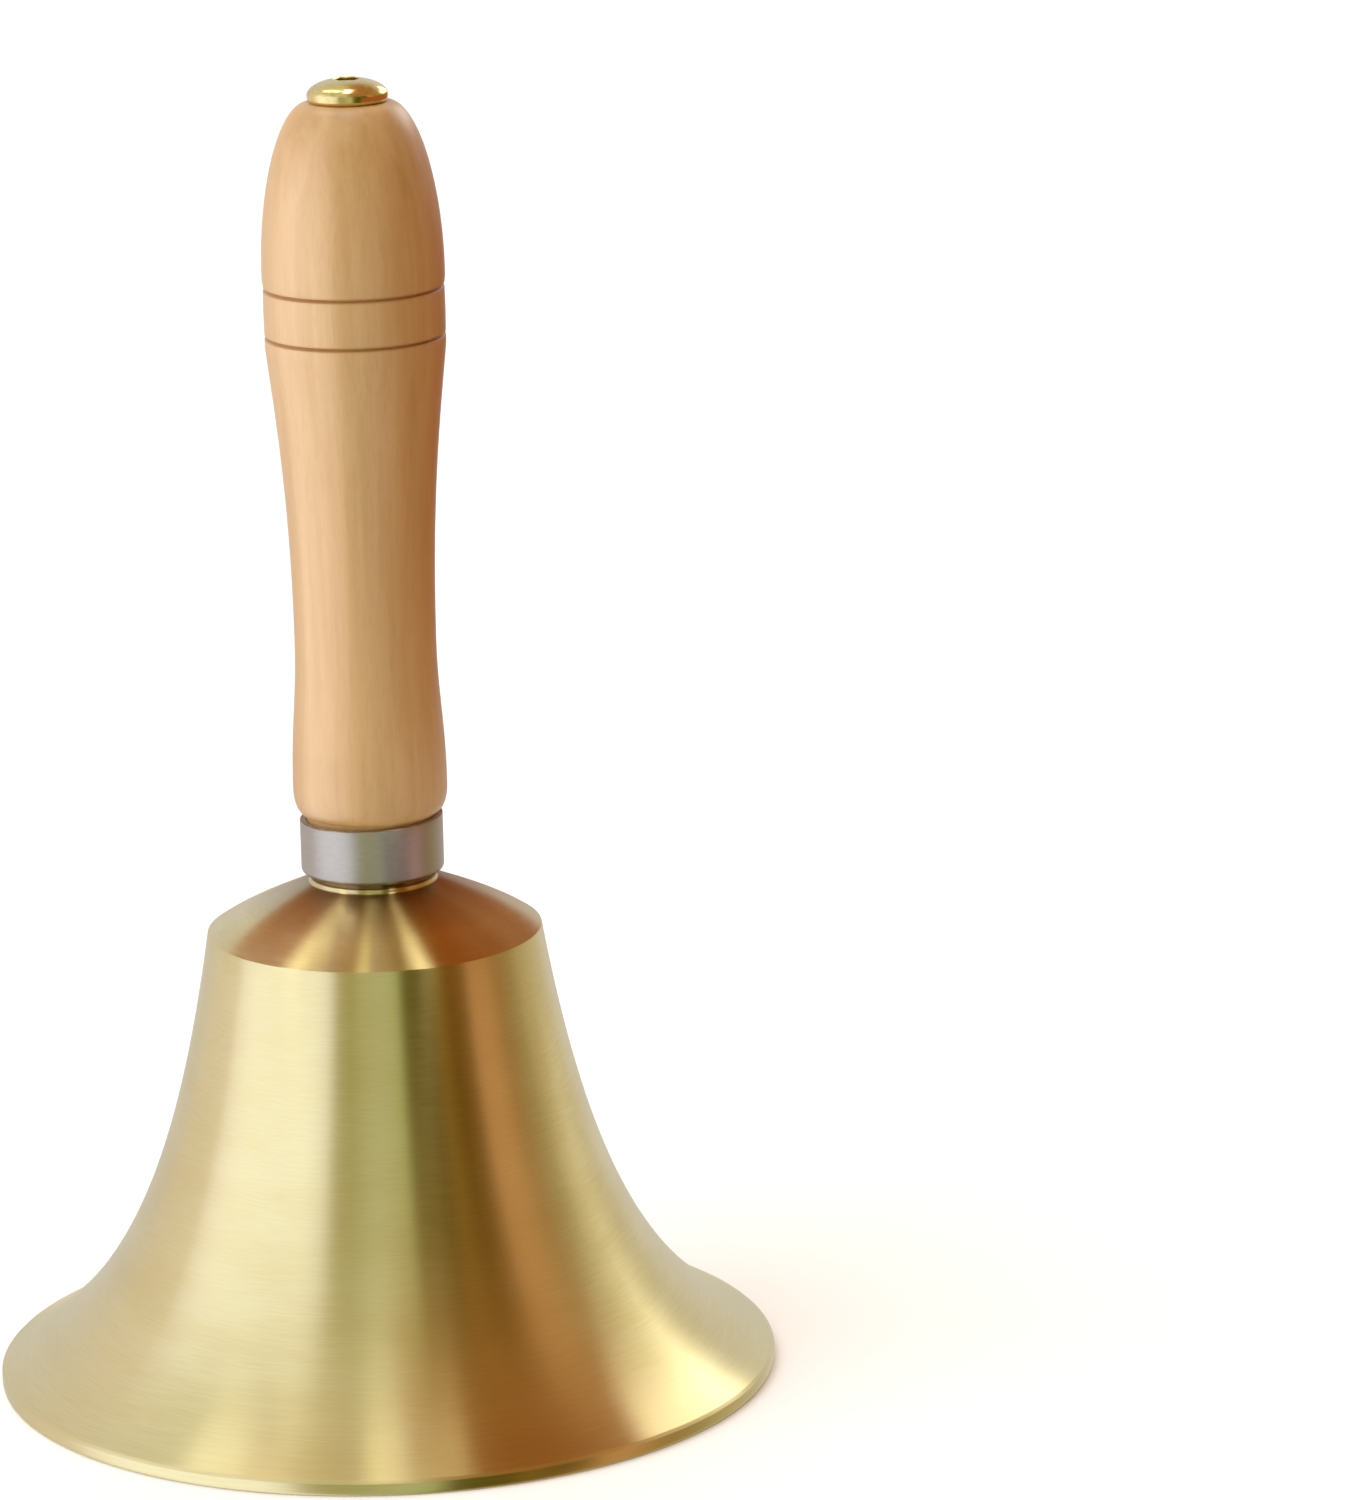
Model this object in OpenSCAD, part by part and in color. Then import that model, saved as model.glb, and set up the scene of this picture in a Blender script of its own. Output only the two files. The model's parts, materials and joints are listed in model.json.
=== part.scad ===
// Brass handbell with a turned wooden handle.
// A long tie bolt runs from the top of the handle, through the ferrule and the
// crown of the bell, and is clamped by a nut inside. Its lower end carries a
// stirrup that swivels, and the clapper swings on a pin across that stirrup.
// The origin is the centre of the mouth plane, +Z is up the handle.

/* [Bell] */
// Diameter of the mouth over the lip
mouth_d = 101; // [98:0.5:104]
// Height of the upright band round the lip
lip_h = 2; // [1.6:0.1:2.4]
// Flat width of the lip that the bell stands on
lip_flat = 2.2; // [1.8:0.1:2.8]
// Rounding of the lip's lower outer edge
lip_round = 0.5; // [0.2:0.1:0.8]
// Diameter across the shoulder
shoulder_d = 43.1; // [42:0.1:45]
// Height of the shoulder above the mouth
shoulder_z = 59.2; // [59:0.1:60]
// Wall thickness just below the shoulder
wall_t = 1.9; // [1.6:0.1:2.4]
// Angle of the skirt off the vertical at the shoulder
skirt_top_angle = 9.2; // [7:0.1:11]
// Angle of the skirt off the horizontal at the lip
skirt_lip_angle = 26; // [20:1:30]
// Diameter of the small boss that the ferrule stands on
boss_d = 16.4; // [15.6:0.1:17]
// Height of the boss's foot above the mouth
boss_foot_z = 65.7; // [65.2:0.1:66]
// Height of the boss's top above the mouth
boss_top_z = 67; // [66.6:0.1:67.2]
// Height of the ring round the boss's foot, under its narrower neck
boss_ring_h = 0.6; // [0.4:0.1:0.8]
// Height of the flat clamping seat inside the crown
seat_z = 61.8; // [61.4:0.1:62]

/* [Handle] */
// Diameter of the bulb just above the ferrule
heel_d = 19.8; // [19.4:0.1:20]
// Diameter at the waist, where the fingers close
waist_d = 18.1; // [17.6:0.1:18.6]
// Diameter of the raised band between the two grooves
band_d = 22.9; // [22.4:0.1:23.4]
// Largest diameter, just above the upper groove
crest_d = 23.14; // [22.8:0.02:23.6]
// Height of the handle's flat top above the mouth
handle_top_z = 166.4; // [165:0.1:168]
// Diameter of the flat on top of the handle
handle_flat_d = 10.3; // [10.3:0.1:11]
// Height of the lower groove
groove_low_z = 136.85; // [136:0.05:137.5]
// Height of the upper groove
groove_high_z = 143; // [142:0.1:143.5]
// Depth of each groove
groove_depth = 0.35; // [0.3:0.05:0.6]

/* [Ferrule] */
// Outer diameter of the ferrule
ferrule_d = 18.36; // [18.2:0.02:18.6]
// Height of the ferrule
ferrule_h = 7.4; // [7:0.1:8]
// Wall thickness of the ferrule
ferrule_t = 0.8; // [0.6:0.1:0.9]
// Outer rounding of the ferrule's closed lower end
ferrule_round = 0.6; // [0.4:0.1:0.8]

/* [Clapper] */
// Diameter of the clapper ball
ball_d = 18; // [16:0.5:18]
// Height of the ball's centre above the mouth, hanging
ball_z = 12.8; // [12.4:0.1:14]
// Height of the swing pin above the mouth
pin_z = 45; // [44.5:0.1:45.2]
// Diameter of the swing pin
pin_d = 3; // [2.8:0.1:3]
// Diameter of the clapper stem
stem_d = 3.5; // [3.2:0.1:3.6]

/* [Hidden] */
$fn = 96;

// Fits, as radial clearances
run_gap = 0.08;
drill_gap = 0.15;
loose_gap = 0.3;

// M5 hardware of the tie bolt, to the usual sheet sizes
m5_r = 2.5;
m5_hole_r = m5_r + drill_gap;
m5_nut_af = 8;
m5_nut_h = 4;
m5_thin_nut_h = 2.7;
m5_washer_r = 5;
m5_washer_t = 1;
spring_washer_r = 4.6;
spring_washer_t = 1.2;
spring_slit_w = 0.8;

// M3 nut under the clapper ball
m3_r = 1.5;
m3_nut_af = 5.5;
m3_nut_h = 2.4;

// Head of the tie bolt
head_foot_r = 4.65;
head_r = 5.12;
head_edge_z = 1.0;
head_crown_r = 4.08;
head_crown_z = 2.13;
head_h = 3.1;
socket_af = 3;
socket_depth = 1.9;

// Clamping stack inside the crown, from the seat downwards
washer_bottom = seat_z - m5_washer_t;
spring_bottom = washer_bottom - spring_washer_t;
nut_bottom = spring_bottom - m5_nut_h;

// Stirrup, a bent strip that hangs below the clamping nut
strip_t = 1.5;
strip_w = 8;
strip_gap = 10;
bend_r = 2.5;
web_top = nut_bottom - loose_gap;
web_bottom = web_top - strip_t;
swivel_washer_r = 4.5;
swivel_washer_t = 0.8;
swivel_top = web_bottom - loose_gap;
lock_top = swivel_top - swivel_washer_t;
lock_bottom = lock_top - m5_thin_nut_h;
bolt_end_z = lock_bottom - 0.5;

// Swing pin and its parts, along Y
pin_r = pin_d / 2;
pin_head_r = 2.6;
pin_head_t = 1.2;
pin_tail = 1.7;
clip_t = 0.6;
clip_r = 3;
clip_groove_r = pin_r - 0.35;
cheek_y = strip_gap / 2 + strip_t;

// Clapper
hub_r = 3.2;
hub_w = strip_gap - 2 * 0.4;
stem_r = stem_d / 2;
ball_r = ball_d / 2;
ball_sink = 3.2;
ball_sink_r = 3.5;
ball_collar_r = 3.2;
ball_collar_h = 1.2;

// A point at parameter t on the cubic Bezier curve through p
function bezier(p, t) =
    pow(1 - t, 3) * p[0] + 3 * pow(1 - t, 2) * t * p[1]
    + 3 * (1 - t) * t * t * p[2] + pow(t, 3) * p[3];

// The points of that curve in n equal steps of t
function bezier_points(p, n) = [for (i = [0:n]) bezier(p, i / n)];

// Skirt: outer curve from shoulder to lip, and the inner one that follows it
skirt_steps = 40;
// Bevel between the skirt and the lip's upright band
lip_bevel_in = 0.35;
lip_bevel_drop = 0.4;
top_pull = 28.5;
lip_pull = 19;
skirt = [
    [shoulder_d / 2, shoulder_z],
    [shoulder_d / 2 + top_pull * sin(skirt_top_angle), shoulder_z - top_pull * cos(skirt_top_angle)],
    [mouth_d / 2 - lip_bevel_in - lip_pull * cos(skirt_lip_angle), lip_h + lip_pull * sin(skirt_lip_angle)],
    [mouth_d / 2 - lip_bevel_in, lip_h]];
inner_drop = [wall_t, 3];
lip_shift = [lip_flat - lip_bevel_in, lip_h];
cavity = [skirt[0] - inner_drop, skirt[1] - [wall_t, 0], skirt[2] - lip_shift, skirt[3] - lip_shift];

// Crown: a low dome from the boss's foot to the shoulder, outside and inside
crown_steps = 12;
crown = [
    [boss_d / 2, boss_foot_z],
    [boss_d / 2 + 4.6, boss_foot_z - 1.9],
    [shoulder_d / 2 - 3.3, shoulder_z + 2.4],
    [shoulder_d / 2, shoulder_z]];
neck_r = boss_d / 2 - 0.4;
ring_top = boss_foot_z + boss_ring_h;
seat_r = 7;
ceiling = [
    [seat_r, seat_z],
    [seat_r + 5, seat_z - 0.6],
    cavity[0] + [-1.4, 2.2],
    cavity[0]];

// Handle: heel, waist, swell, band, crest and dome, from the ferrule upwards
heel_z = 78.2;
waist_low_z = 97;
waist_high_z = 98;
swell_z = groove_low_z - 1.3;
tenon_r = ferrule_d / 2 - ferrule_t - 0.05;
tenon_bottom = boss_top_z + ferrule_t;
ferrule_top = boss_top_z + ferrule_h;
band_edge = 0.35;
crest_z = groove_high_z + 1.6;
heel = [
    [tenon_r + 0.2, ferrule_top + 0.35],
    [tenon_r + 0.9, ferrule_top + 0.4],
    [heel_d / 2, ferrule_top + 1.6],
    [heel_d / 2, heel_z]];
waist = [
    [heel_d / 2, heel_z],
    [heel_d / 2, heel_z + 8],
    [waist_d / 2, waist_low_z - 7],
    [waist_d / 2, waist_low_z]];
swell = [
    [waist_d / 2, waist_high_z],
    [waist_d / 2, waist_high_z + 18.6],
    [band_d / 2 - 0.83, swell_z - 8],
    [band_d / 2, swell_z]];
crest = [
    [band_d / 2 - 0.1, groove_high_z + band_edge],
    [crest_d / 2 - 0.1, groove_high_z + 0.5],
    [crest_d / 2, groove_high_z + 0.9],
    [crest_d / 2, crest_z]];
dome = [
    [crest_d / 2, crest_z],
    [crest_d / 2, crest_z + 11.9],
    [handle_flat_d / 2 + 3.4, handle_top_z],
    [handle_flat_d / 2, handle_top_z]];

// A regular hexagonal prism, by its size across flats
module hexagon(af, h) {
    cylinder(h = h, r = af / sqrt(3), $fn = 6);
}

// A flat ring standing on the plane z = 0
module ring(r_out, r_in, h) {
    difference() {
        cylinder(h = h, r = r_out);
        translate([0, 0, -1]) cylinder(h = h + 2, r = r_in);
    }
}

// A hexagonal nut with chamfered corners, standing on z = 0
module nut(af, bore_r, h) {
    corner_r = af / sqrt(3);
    chamfer = (corner_r - af / 2) * 0.9;
    difference() {
        intersection() {
            hexagon(af, h);
            rotate_extrude()
                polygon([[0, 0], [af / 2 * 0.97, 0], [corner_r, chamfer * 0.58],
                         [corner_r, h - chamfer * 0.58], [af / 2 * 0.97, h], [0, h]]);
        }
        translate([0, 0, -1]) cylinder(h = h + 2, r = bore_r);
    }
}

// The cast and turned bell: skirt, lip, crown, boss and the bore for the bolt
module bell_shell() {
    lip_r = mouth_d / 2;
    color("#d8c58c")
        rotate_extrude()
            polygon(concat(
                bezier_points(skirt, skirt_steps),
                [[lip_r, lip_h - lip_bevel_drop]],
                [for (a = [0:15:90]) [lip_r - lip_round + lip_round * cos(a), lip_round - lip_round * sin(a)]],
                [for (i = [skirt_steps:-1:0]) bezier(cavity, i / skirt_steps)],
                [for (i = [crown_steps - 1:-1:0]) bezier(ceiling, i / crown_steps)],
                [[m5_hole_r, seat_z], [m5_hole_r, boss_top_z], [neck_r, boss_top_z],
                 [neck_r, ring_top], [boss_d / 2, ring_top]],
                [for (i = [0:crown_steps - 1]) bezier(crown, i / crown_steps)]));
}

// A drawn steel cup, round the foot of the handle
module ferrule() {
    r = ferrule_d / 2;
    color("#b4b4b2")
        translate([0, 0, boss_top_z])
            rotate_extrude()
                polygon(concat(
                    [[m5_hole_r, 0]],
                    [for (a = [-90:15:0]) [r - ferrule_round + ferrule_round * cos(a),
                                           ferrule_round + ferrule_round * sin(a)]],
                    [[r, ferrule_h - 0.15], [r - 0.15, ferrule_h], [r - ferrule_t, ferrule_h],
                     [r - ferrule_t, ferrule_t], [m5_hole_r, ferrule_t]]));
}

// One turned groove: down a side, round its floor and up the other
function groove(r, z) = [
    [r, z - band_edge], [r - groove_depth * 0.85, z - 0.12],
    [r - groove_depth, z], [r - groove_depth * 0.85, z + 0.12]];

// The turned wooden handle, bored right through for the tie bolt
module handle() {
    color("#e3c493")
        rotate_extrude()
            polygon(concat(
                [[m5_r + loose_gap, tenon_bottom], [tenon_r - 0.4, tenon_bottom], [tenon_r, tenon_bottom + 0.4],
                 [tenon_r, ferrule_top - 0.1]],
                bezier_points(heel, 8),
                [for (i = [1:8]) bezier(waist, i / 8)],
                bezier_points(swell, 12),
                groove(band_d / 2, groove_low_z),
                [[band_d / 2, groove_low_z + band_edge], [band_d / 2 + 0.04, groove_low_z + 1]],
                groove(band_d / 2, groove_high_z),
                bezier_points(crest, 4),
                [for (i = [1:16]) bezier(dome, i / 16)],
                [[m5_r + loose_gap, handle_top_z]]));
}

// The long bolt that ties handle, ferrule and bell together
module tie_bolt() {
    color("#cdb878")
        difference() {
            rotate_extrude()
                polygon(concat(
                    [[0, bolt_end_z], [m5_r - 0.4, bolt_end_z], [m5_r, bolt_end_z + 0.4], [m5_r, handle_top_z],
                     [head_foot_r, handle_top_z]],
                    bezier_points([
                        [head_foot_r, handle_top_z + 0.1],
                        [head_r - 0.1, handle_top_z + 0.2],
                        [head_r, handle_top_z + 0.6],
                        [head_r, handle_top_z + head_edge_z]], 4),
                    bezier_points([
                        [head_r, handle_top_z + head_edge_z + 0.1],
                        [head_r, handle_top_z + head_crown_z - 0.1],
                        [head_crown_r - 1.2, handle_top_z + head_h],
                        [0, handle_top_z + head_h]], 10)));
            translate([0, 0, handle_top_z + head_h - socket_depth]) hexagon(socket_af, socket_depth + 1);
        }
}

// Plain washer between the nut stack and the crown
module crown_washer() {
    color("#b9bab8") translate([0, 0, washer_bottom]) ring(m5_washer_r, m5_hole_r, m5_washer_t);
}

// Split spring washer, drawn flat as it is when tightened
module spring_washer() {
    color("#a9aaa8")
        translate([0, 0, spring_bottom])
            difference() {
                ring(spring_washer_r, m5_hole_r, spring_washer_t);
                translate([0, -spring_slit_w / 2, -1]) cube([2 * spring_washer_r, spring_slit_w, 4]);
            }
}

// Hexagonal nut that clamps handle, ferrule and bell
module clamp_nut() {
    color("#b9bab8") translate([0, 0, nut_bottom]) nut(m5_nut_af, m5_r, m5_nut_h);
}

// The strip's outline seen along X: a web on two cheeks, rounded at the bends
module stirrup_outline() {
    foot = pin_z - strip_w / 2;
    out_y = strip_gap / 2 + strip_t;
    difference() {
        union() {
            translate([-out_y, foot]) square([2 * out_y, web_top - bend_r - foot]);
            translate([bend_r - out_y, foot]) square([2 * (out_y - bend_r), web_top - foot]);
            for (s = [-1, 1]) translate([s * (out_y - bend_r), web_top - bend_r]) circle(r = bend_r);
        }
        in_r = bend_r - strip_t;
        translate([-strip_gap / 2, foot - 1]) square([strip_gap, web_bottom - in_r - foot + 1]);
        translate([in_r - strip_gap / 2, foot - 1]) square([strip_gap - 2 * in_r, web_bottom - foot + 1]);
        for (s = [-1, 1]) translate([s * (strip_gap / 2 - in_r), web_bottom - in_r]) circle(r = in_r);
    }
}

// U-shaped hanger that swivels on the bolt and holds the pin in its cheeks
module stirrup() {
    color("#c6c6c2")
        difference() {
            intersection() {
                rotate([90, 0, 90]) linear_extrude(strip_w, center = true) stirrup_outline();
                union() {
                    translate([-strip_w / 2, -20, pin_z]) cube([strip_w, 40, 20]);
                    translate([0, 0, pin_z]) rotate([90, 0, 0]) cylinder(h = 40, r = strip_w / 2, center = true);
                }
            }
            translate([0, 0, web_bottom - 1]) cylinder(h = strip_t + 2, r = m5_r + run_gap);
            translate([0, 0, pin_z]) rotate([90, 0, 0]) cylinder(h = 40, r = pin_r, center = true);
        }
}

// Washer that the stirrup's web turns on
module swivel_washer() {
    color("#b9bab8") translate([0, 0, lock_top]) ring(swivel_washer_r, m5_hole_r, swivel_washer_t);
}

// Thin nut, fixed on the bolt's end, that keeps the stirrup on
module lock_nut() {
    color("#b9bab8") translate([0, 0, lock_bottom]) nut(m5_nut_af, m5_r, m5_thin_nut_h);
}

// Headed pin across the stirrup, with a groove for its clip
module hinge_pin() {
    tail_end = cheek_y + pin_tail;
    color("#d0d0cc")
        translate([0, 0, pin_z])
            rotate([-90, 0, 0])
                difference() {
                    union() {
                        translate([0, 0, -cheek_y]) cylinder(h = cheek_y + tail_end, r = pin_r);
                        translate([0, 0, -cheek_y - pin_head_t]) cylinder(h = pin_head_t, r = pin_head_r);
                    }
                    translate([0, 0, cheek_y]) ring(pin_r + 1, clip_groove_r, clip_t);
                }
}

// Spring clip in the pin's groove, open on one side so that it snaps on
module pin_clip() {
    color("#8f9090")
        translate([0, cheek_y, pin_z])
            rotate([-90, 0, 0])
                difference() {
                    cylinder(h = clip_t, r = clip_r);
                    translate([0, 0, -1]) cylinder(h = clip_t + 2, r = clip_groove_r);
                    translate([-clip_groove_r, 0, -1]) cube([2 * clip_groove_r, clip_r + 1, clip_t + 2]);
                }
}

// Clapper stem: a cross hub on the pin, and a rod down through the ball
module clapper_stem() {
    stem_end = ball_z - ball_r + ball_sink;
    thread_end = stem_end - m3_nut_h - 0.3;
    color("#c9b06c")
        difference() {
            union() {
                translate([0, 0, pin_z]) rotate([90, 0, 0]) cylinder(h = hub_w, r = hub_r, center = true);
                translate([0, 0, stem_end]) cylinder(h = pin_z - stem_end, r = stem_r);
                translate([0, 0, thread_end]) cylinder(h = stem_end - thread_end, r = m3_r);
            }
            translate([0, 0, pin_z]) rotate([90, 0, 0]) cylinder(h = hub_w + 2, r = pin_r + run_gap, center = true);
        }
}

// Turned ball with a short collar on top and a sunk seat for its nut
module clapper_ball() {
    color("#d3bd7c")
        difference() {
            union() {
                translate([0, 0, ball_z]) sphere(r = ball_r);
                translate([0, 0, ball_z]) cylinder(h = ball_r + ball_collar_h, r = ball_collar_r);
            }
            translate([0, 0, ball_z - ball_r - 1]) cylinder(h = 2 * ball_r + ball_collar_h + 2, r = stem_r);
            translate([0, 0, ball_z - ball_r - 1]) cylinder(h = ball_sink + 1, r = ball_sink_r);
        }
}

// Small nut that holds the ball on the stem
module ball_nut() {
    color("#b9bab8")
        translate([0, 0, ball_z - ball_r + ball_sink - m3_nut_h]) nut(m3_nut_af, m3_r, m3_nut_h);
}

bell_shell();
ferrule();
handle();
tie_bolt();
crown_washer();
spring_washer();
clamp_nut();
stirrup();
swivel_washer();
lock_nut();
hinge_pin();
pin_clip();
clapper_stem();
clapper_ball();
ball_nut();
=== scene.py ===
"""Looks of a brass handbell with a turned wooden handle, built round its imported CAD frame."""

import json
import logging
import math
from dataclasses import dataclass, field
from enum import Enum
from typing import Any, Callable

import bmesh
import bpy
from bmesh.types import BMesh, BMVert
from bpy.types import Light, Material, Mesh, Node, NodeSocket, NodeTree, Object, World
from mathutils import Matrix, Vector


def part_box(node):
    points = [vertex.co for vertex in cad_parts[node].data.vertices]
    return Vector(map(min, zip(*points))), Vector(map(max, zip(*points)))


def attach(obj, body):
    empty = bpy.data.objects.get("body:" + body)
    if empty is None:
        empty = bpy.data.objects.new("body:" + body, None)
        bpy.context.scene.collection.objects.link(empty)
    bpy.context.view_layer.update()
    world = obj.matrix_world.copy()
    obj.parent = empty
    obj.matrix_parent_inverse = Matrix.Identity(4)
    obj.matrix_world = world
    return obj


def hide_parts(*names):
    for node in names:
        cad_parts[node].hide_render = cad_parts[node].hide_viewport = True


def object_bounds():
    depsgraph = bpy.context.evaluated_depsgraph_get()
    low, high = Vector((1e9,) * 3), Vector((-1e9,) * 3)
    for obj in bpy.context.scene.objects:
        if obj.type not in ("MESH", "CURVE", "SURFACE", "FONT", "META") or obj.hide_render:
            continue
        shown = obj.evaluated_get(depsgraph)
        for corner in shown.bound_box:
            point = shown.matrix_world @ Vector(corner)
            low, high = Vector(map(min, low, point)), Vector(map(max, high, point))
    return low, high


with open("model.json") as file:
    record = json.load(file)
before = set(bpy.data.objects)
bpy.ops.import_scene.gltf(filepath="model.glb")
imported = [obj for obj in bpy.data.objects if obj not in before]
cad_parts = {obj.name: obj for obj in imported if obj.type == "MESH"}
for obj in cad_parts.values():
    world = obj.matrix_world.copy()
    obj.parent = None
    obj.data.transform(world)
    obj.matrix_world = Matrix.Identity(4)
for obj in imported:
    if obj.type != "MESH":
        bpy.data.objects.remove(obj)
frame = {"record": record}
CAD_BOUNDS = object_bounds()

LOG = logging.getLogger("handbell")
MM = 0.001
FULL_TURN = 2 * math.pi
WELD = 1e-5  # vertices nearer than this, in millimetres, are one
THREAD_DEPTH = 0.54  # of the pitch
THREAD_STEPS = 8  # points in one pitch of a thread

Point = tuple[float, float]
Outline = list[Point]


class Axis(Enum):
    """Which way a turned piece's own axis points."""

    UP = Matrix.Identity(4)
    ALONG_Y = Matrix.Rotation(math.radians(-90), 4, "X")


# ----------------------------------------------------------------- outlines and meshes


def bezier(start: Point, leave: Point, arrive: Point, end: Point, steps: int) -> Outline:
    """Points of a cubic Bezier curve.

    Args:
        start: Its first point.
        leave: Handle of the start, measured from it.
        arrive: Handle of the end, measured from it.
        end: Its last point.
        steps: Number of equal parameter steps.

    Returns:
        steps + 1 points, both ends included.
    """
    handles = (start[0] + leave[0], start[1] + leave[1]), (end[0] + arrive[0], end[1] + arrive[1])
    ends = (start, *handles, end)
    points = []
    for i in range(steps + 1):
        t = i / steps
        weights = ((1 - t) ** 3, 3 * (1 - t) ** 2 * t, 3 * (1 - t) * t * t, t**3)
        points.append(tuple(sum(w * p[k] for w, p in zip(weights, ends)) for k in (0, 1)))
    return points


def arc(centre: Point, radius: float, start: float, end: float, steps: int = 5) -> Outline:
    """Points of a circular arc.

    Args:
        centre: Centre of the arc, as (r, z).
        radius: Its radius.
        start: Start angle in degrees, from the outward direction, positive upwards.
        end: End angle in degrees.
        steps: Number of equal angular steps.

    Returns:
        steps + 1 points, both ends included.
    """
    angles = (math.radians(start + (end - start) * i / steps) for i in range(steps + 1))
    return [(centre[0] + radius * math.cos(a), centre[1] + radius * math.sin(a)) for a in angles]


def thread_radius(major: float, pitch: float, z: float, angle: float) -> float:
    """Radius of a V thread's surface at one height and angle.

    Args:
        major: Radius over the crests.
        pitch: Rise in one turn.
        z: Height along the axis.
        angle: Angle round the axis, in radians.

    Returns:
        The radius there, with flats on the crests and rounded roots.
    """
    phase = (z / pitch - angle / FULL_TURN) % 1.0
    ramp = abs(2 * phase - 1)
    cut = min(1.0, max(0.0, 1.15 * ramp - 0.1))  # held at its ends, for flat crests and roots
    return major - THREAD_DEPTH * pitch * cut


def smooth(mesh: Mesh, sharp_deg: float) -> None:
    """Shades a mesh smooth, apart from edges that bend more than an angle in degrees."""
    mesh.shade_smooth()
    mesh.set_sharp_from_angle(angle=math.radians(sharp_deg))


def bridge(work: BMesh, rows: list[list[BMVert]], closed: bool = False) -> None:
    """Fills the strip between each row of vertices and the next.

    Args:
        work: The bmesh that holds them.
        rows: Rows of equally many vertices.
        closed: Whether the end of each row joins its start.
    """
    for here, there in zip(rows, rows[1:]):
        for i in range(len(here) if closed else len(here) - 1):
            j = (i + 1) % len(here)
            work.faces.new((here[i], here[j], there[j], there[i]))


def new_object(name: str, work: BMesh, sharp_deg: float = 40.0) -> Object:
    """Turns a bmesh in millimetres into a smooth-shaded object in metres.

    Args:
        name: Name of the object and its mesh.
        work: The bmesh, which is freed.
        sharp_deg: Edges that bend more than this stay crisp.

    Returns:
        The new object, linked to the scene.
    """
    bmesh.ops.remove_doubles(work, verts=work.verts, dist=WELD)
    bmesh.ops.recalc_face_normals(work, faces=work.faces)
    bmesh.ops.scale(work, vec=(MM, MM, MM), verts=work.verts)
    mesh = bpy.data.meshes.new(name)
    work.to_mesh(mesh)
    work.free()
    smooth(mesh, sharp_deg)
    piece = bpy.data.objects.new(name, mesh)
    bpy.context.scene.collection.objects.link(piece)
    return piece


def revolved(
    outline: Outline | Callable[[float], Outline],
    segments: int,
    axis: Axis = Axis.UP,
    centre: tuple[float, float, float] = (0, 0, 0),
    gap_deg: float = 0.0,
) -> BMesh:
    """Revolves a closed outline, whose shape may change with the angle.

    Args:
        outline: The outline, as (r, z) in millimetres, or what gives it at an angle in radians.
        segments: Number of steps round the axis.
        axis: Which way the axis points.
        centre: Where the outline's own origin goes.
        gap_deg: Angle left open, with both ends capped; 0 closes the ring.

    Returns:
        A closed bmesh in millimetres.
    """
    work = bmesh.new()
    is_open = gap_deg > 0
    half_gap = math.radians(gap_deg) / 2
    turn = FULL_TURN - 2 * half_gap
    rings = []
    for k in range(segments + 1 if is_open else segments):
        angle = half_gap + turn * k / segments
        points = outline(angle) if callable(outline) else outline
        rings.append([work.verts.new((r * math.cos(angle), r * math.sin(angle), z)) for r, z in points])
    bridge(work, rings if is_open else rings + rings[:1], closed=True)
    if is_open:
        work.faces.new(rings[0])
        work.faces.new(rings[-1])
    bmesh.ops.transform(work, matrix=Matrix.Translation(centre) @ axis.value, verts=work.verts)
    return work


def apply_modifiers(piece: Object, sharp_deg: float) -> None:
    """Bakes an object's modifiers into its mesh.

    Args:
        piece: The object, whose modifier stack ends up empty.
        sharp_deg: Edges that bend more than this stay crisp.
    """
    bpy.context.view_layer.update()
    solved = piece.evaluated_get(bpy.context.evaluated_depsgraph_get())
    mesh = bpy.data.meshes.new_from_object(solved)
    piece.modifiers.clear()
    piece.data = mesh
    smooth(mesh, sharp_deg)


def hexagon_radius(across_flats: float, angle: float) -> float:
    """Distance from a hexagon's centre to its edge at an angle, with a corner at angle 0."""
    sector = math.radians(60)
    return across_flats / 2 / math.cos((angle % sector) - sector / 2)


# ------------------------------------------------------------------------- materials


def linear(hex_colour: str) -> tuple[float, float, float, float]:
    """An sRGB hex colour as linear RGBA."""
    channels = [int(hex_colour.lstrip("#")[i:i + 2], 16) / 255 for i in (0, 2, 4)]
    return tuple(c / 12.92 if c <= 0.04045 else ((c + 0.055) / 1.055) ** 2.4 for c in channels) + (1.0,)


def add_node(tree: NodeTree, kind: str, inputs: dict[Any, Any] | None = None, **settings: Any) -> Node:
    """Adds a node with its settings and links.

    Args:
        tree: The node tree that it goes in.
        kind: Its type name.
        inputs: For each input, by name or number, a value, a socket to link from, or a node whose
            first output in use is linked.
        **settings: Properties of the node.

    Returns:
        The new node.
    """
    node = tree.nodes.new(kind)
    for key, value in settings.items():
        setattr(node, key, value)
    for key, value in (inputs or {}).items():
        if isinstance(value, Node):
            value = next(output for output in value.outputs if output.enabled)
        if isinstance(value, NodeSocket):
            tree.links.new(value, node.inputs[key])
        else:
            node.inputs[key].default_value = value
    return node


def set_ramp(node: Node, stops: list[tuple[float, str]], interpolation: str = "LINEAR") -> None:
    """Fills a colour ramp.

    Args:
        node: The colour ramp node.
        stops: Position and sRGB hex colour of each stop, in rising order.
        interpolation: How colours blend between the stops.
    """
    ramp = node.color_ramp
    ramp.interpolation = interpolation
    while len(ramp.elements) < len(stops):
        ramp.elements.new(1.0)
    for element, (position, colour) in zip(ramp.elements, stops):
        element.position = position
        element.color = linear(colour)


def empty_tree(owner: Material | World) -> NodeTree:
    """The node tree of a material or a world, emptied."""
    owner.use_nodes = True
    owner.node_tree.nodes.clear()
    return owner.node_tree


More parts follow.
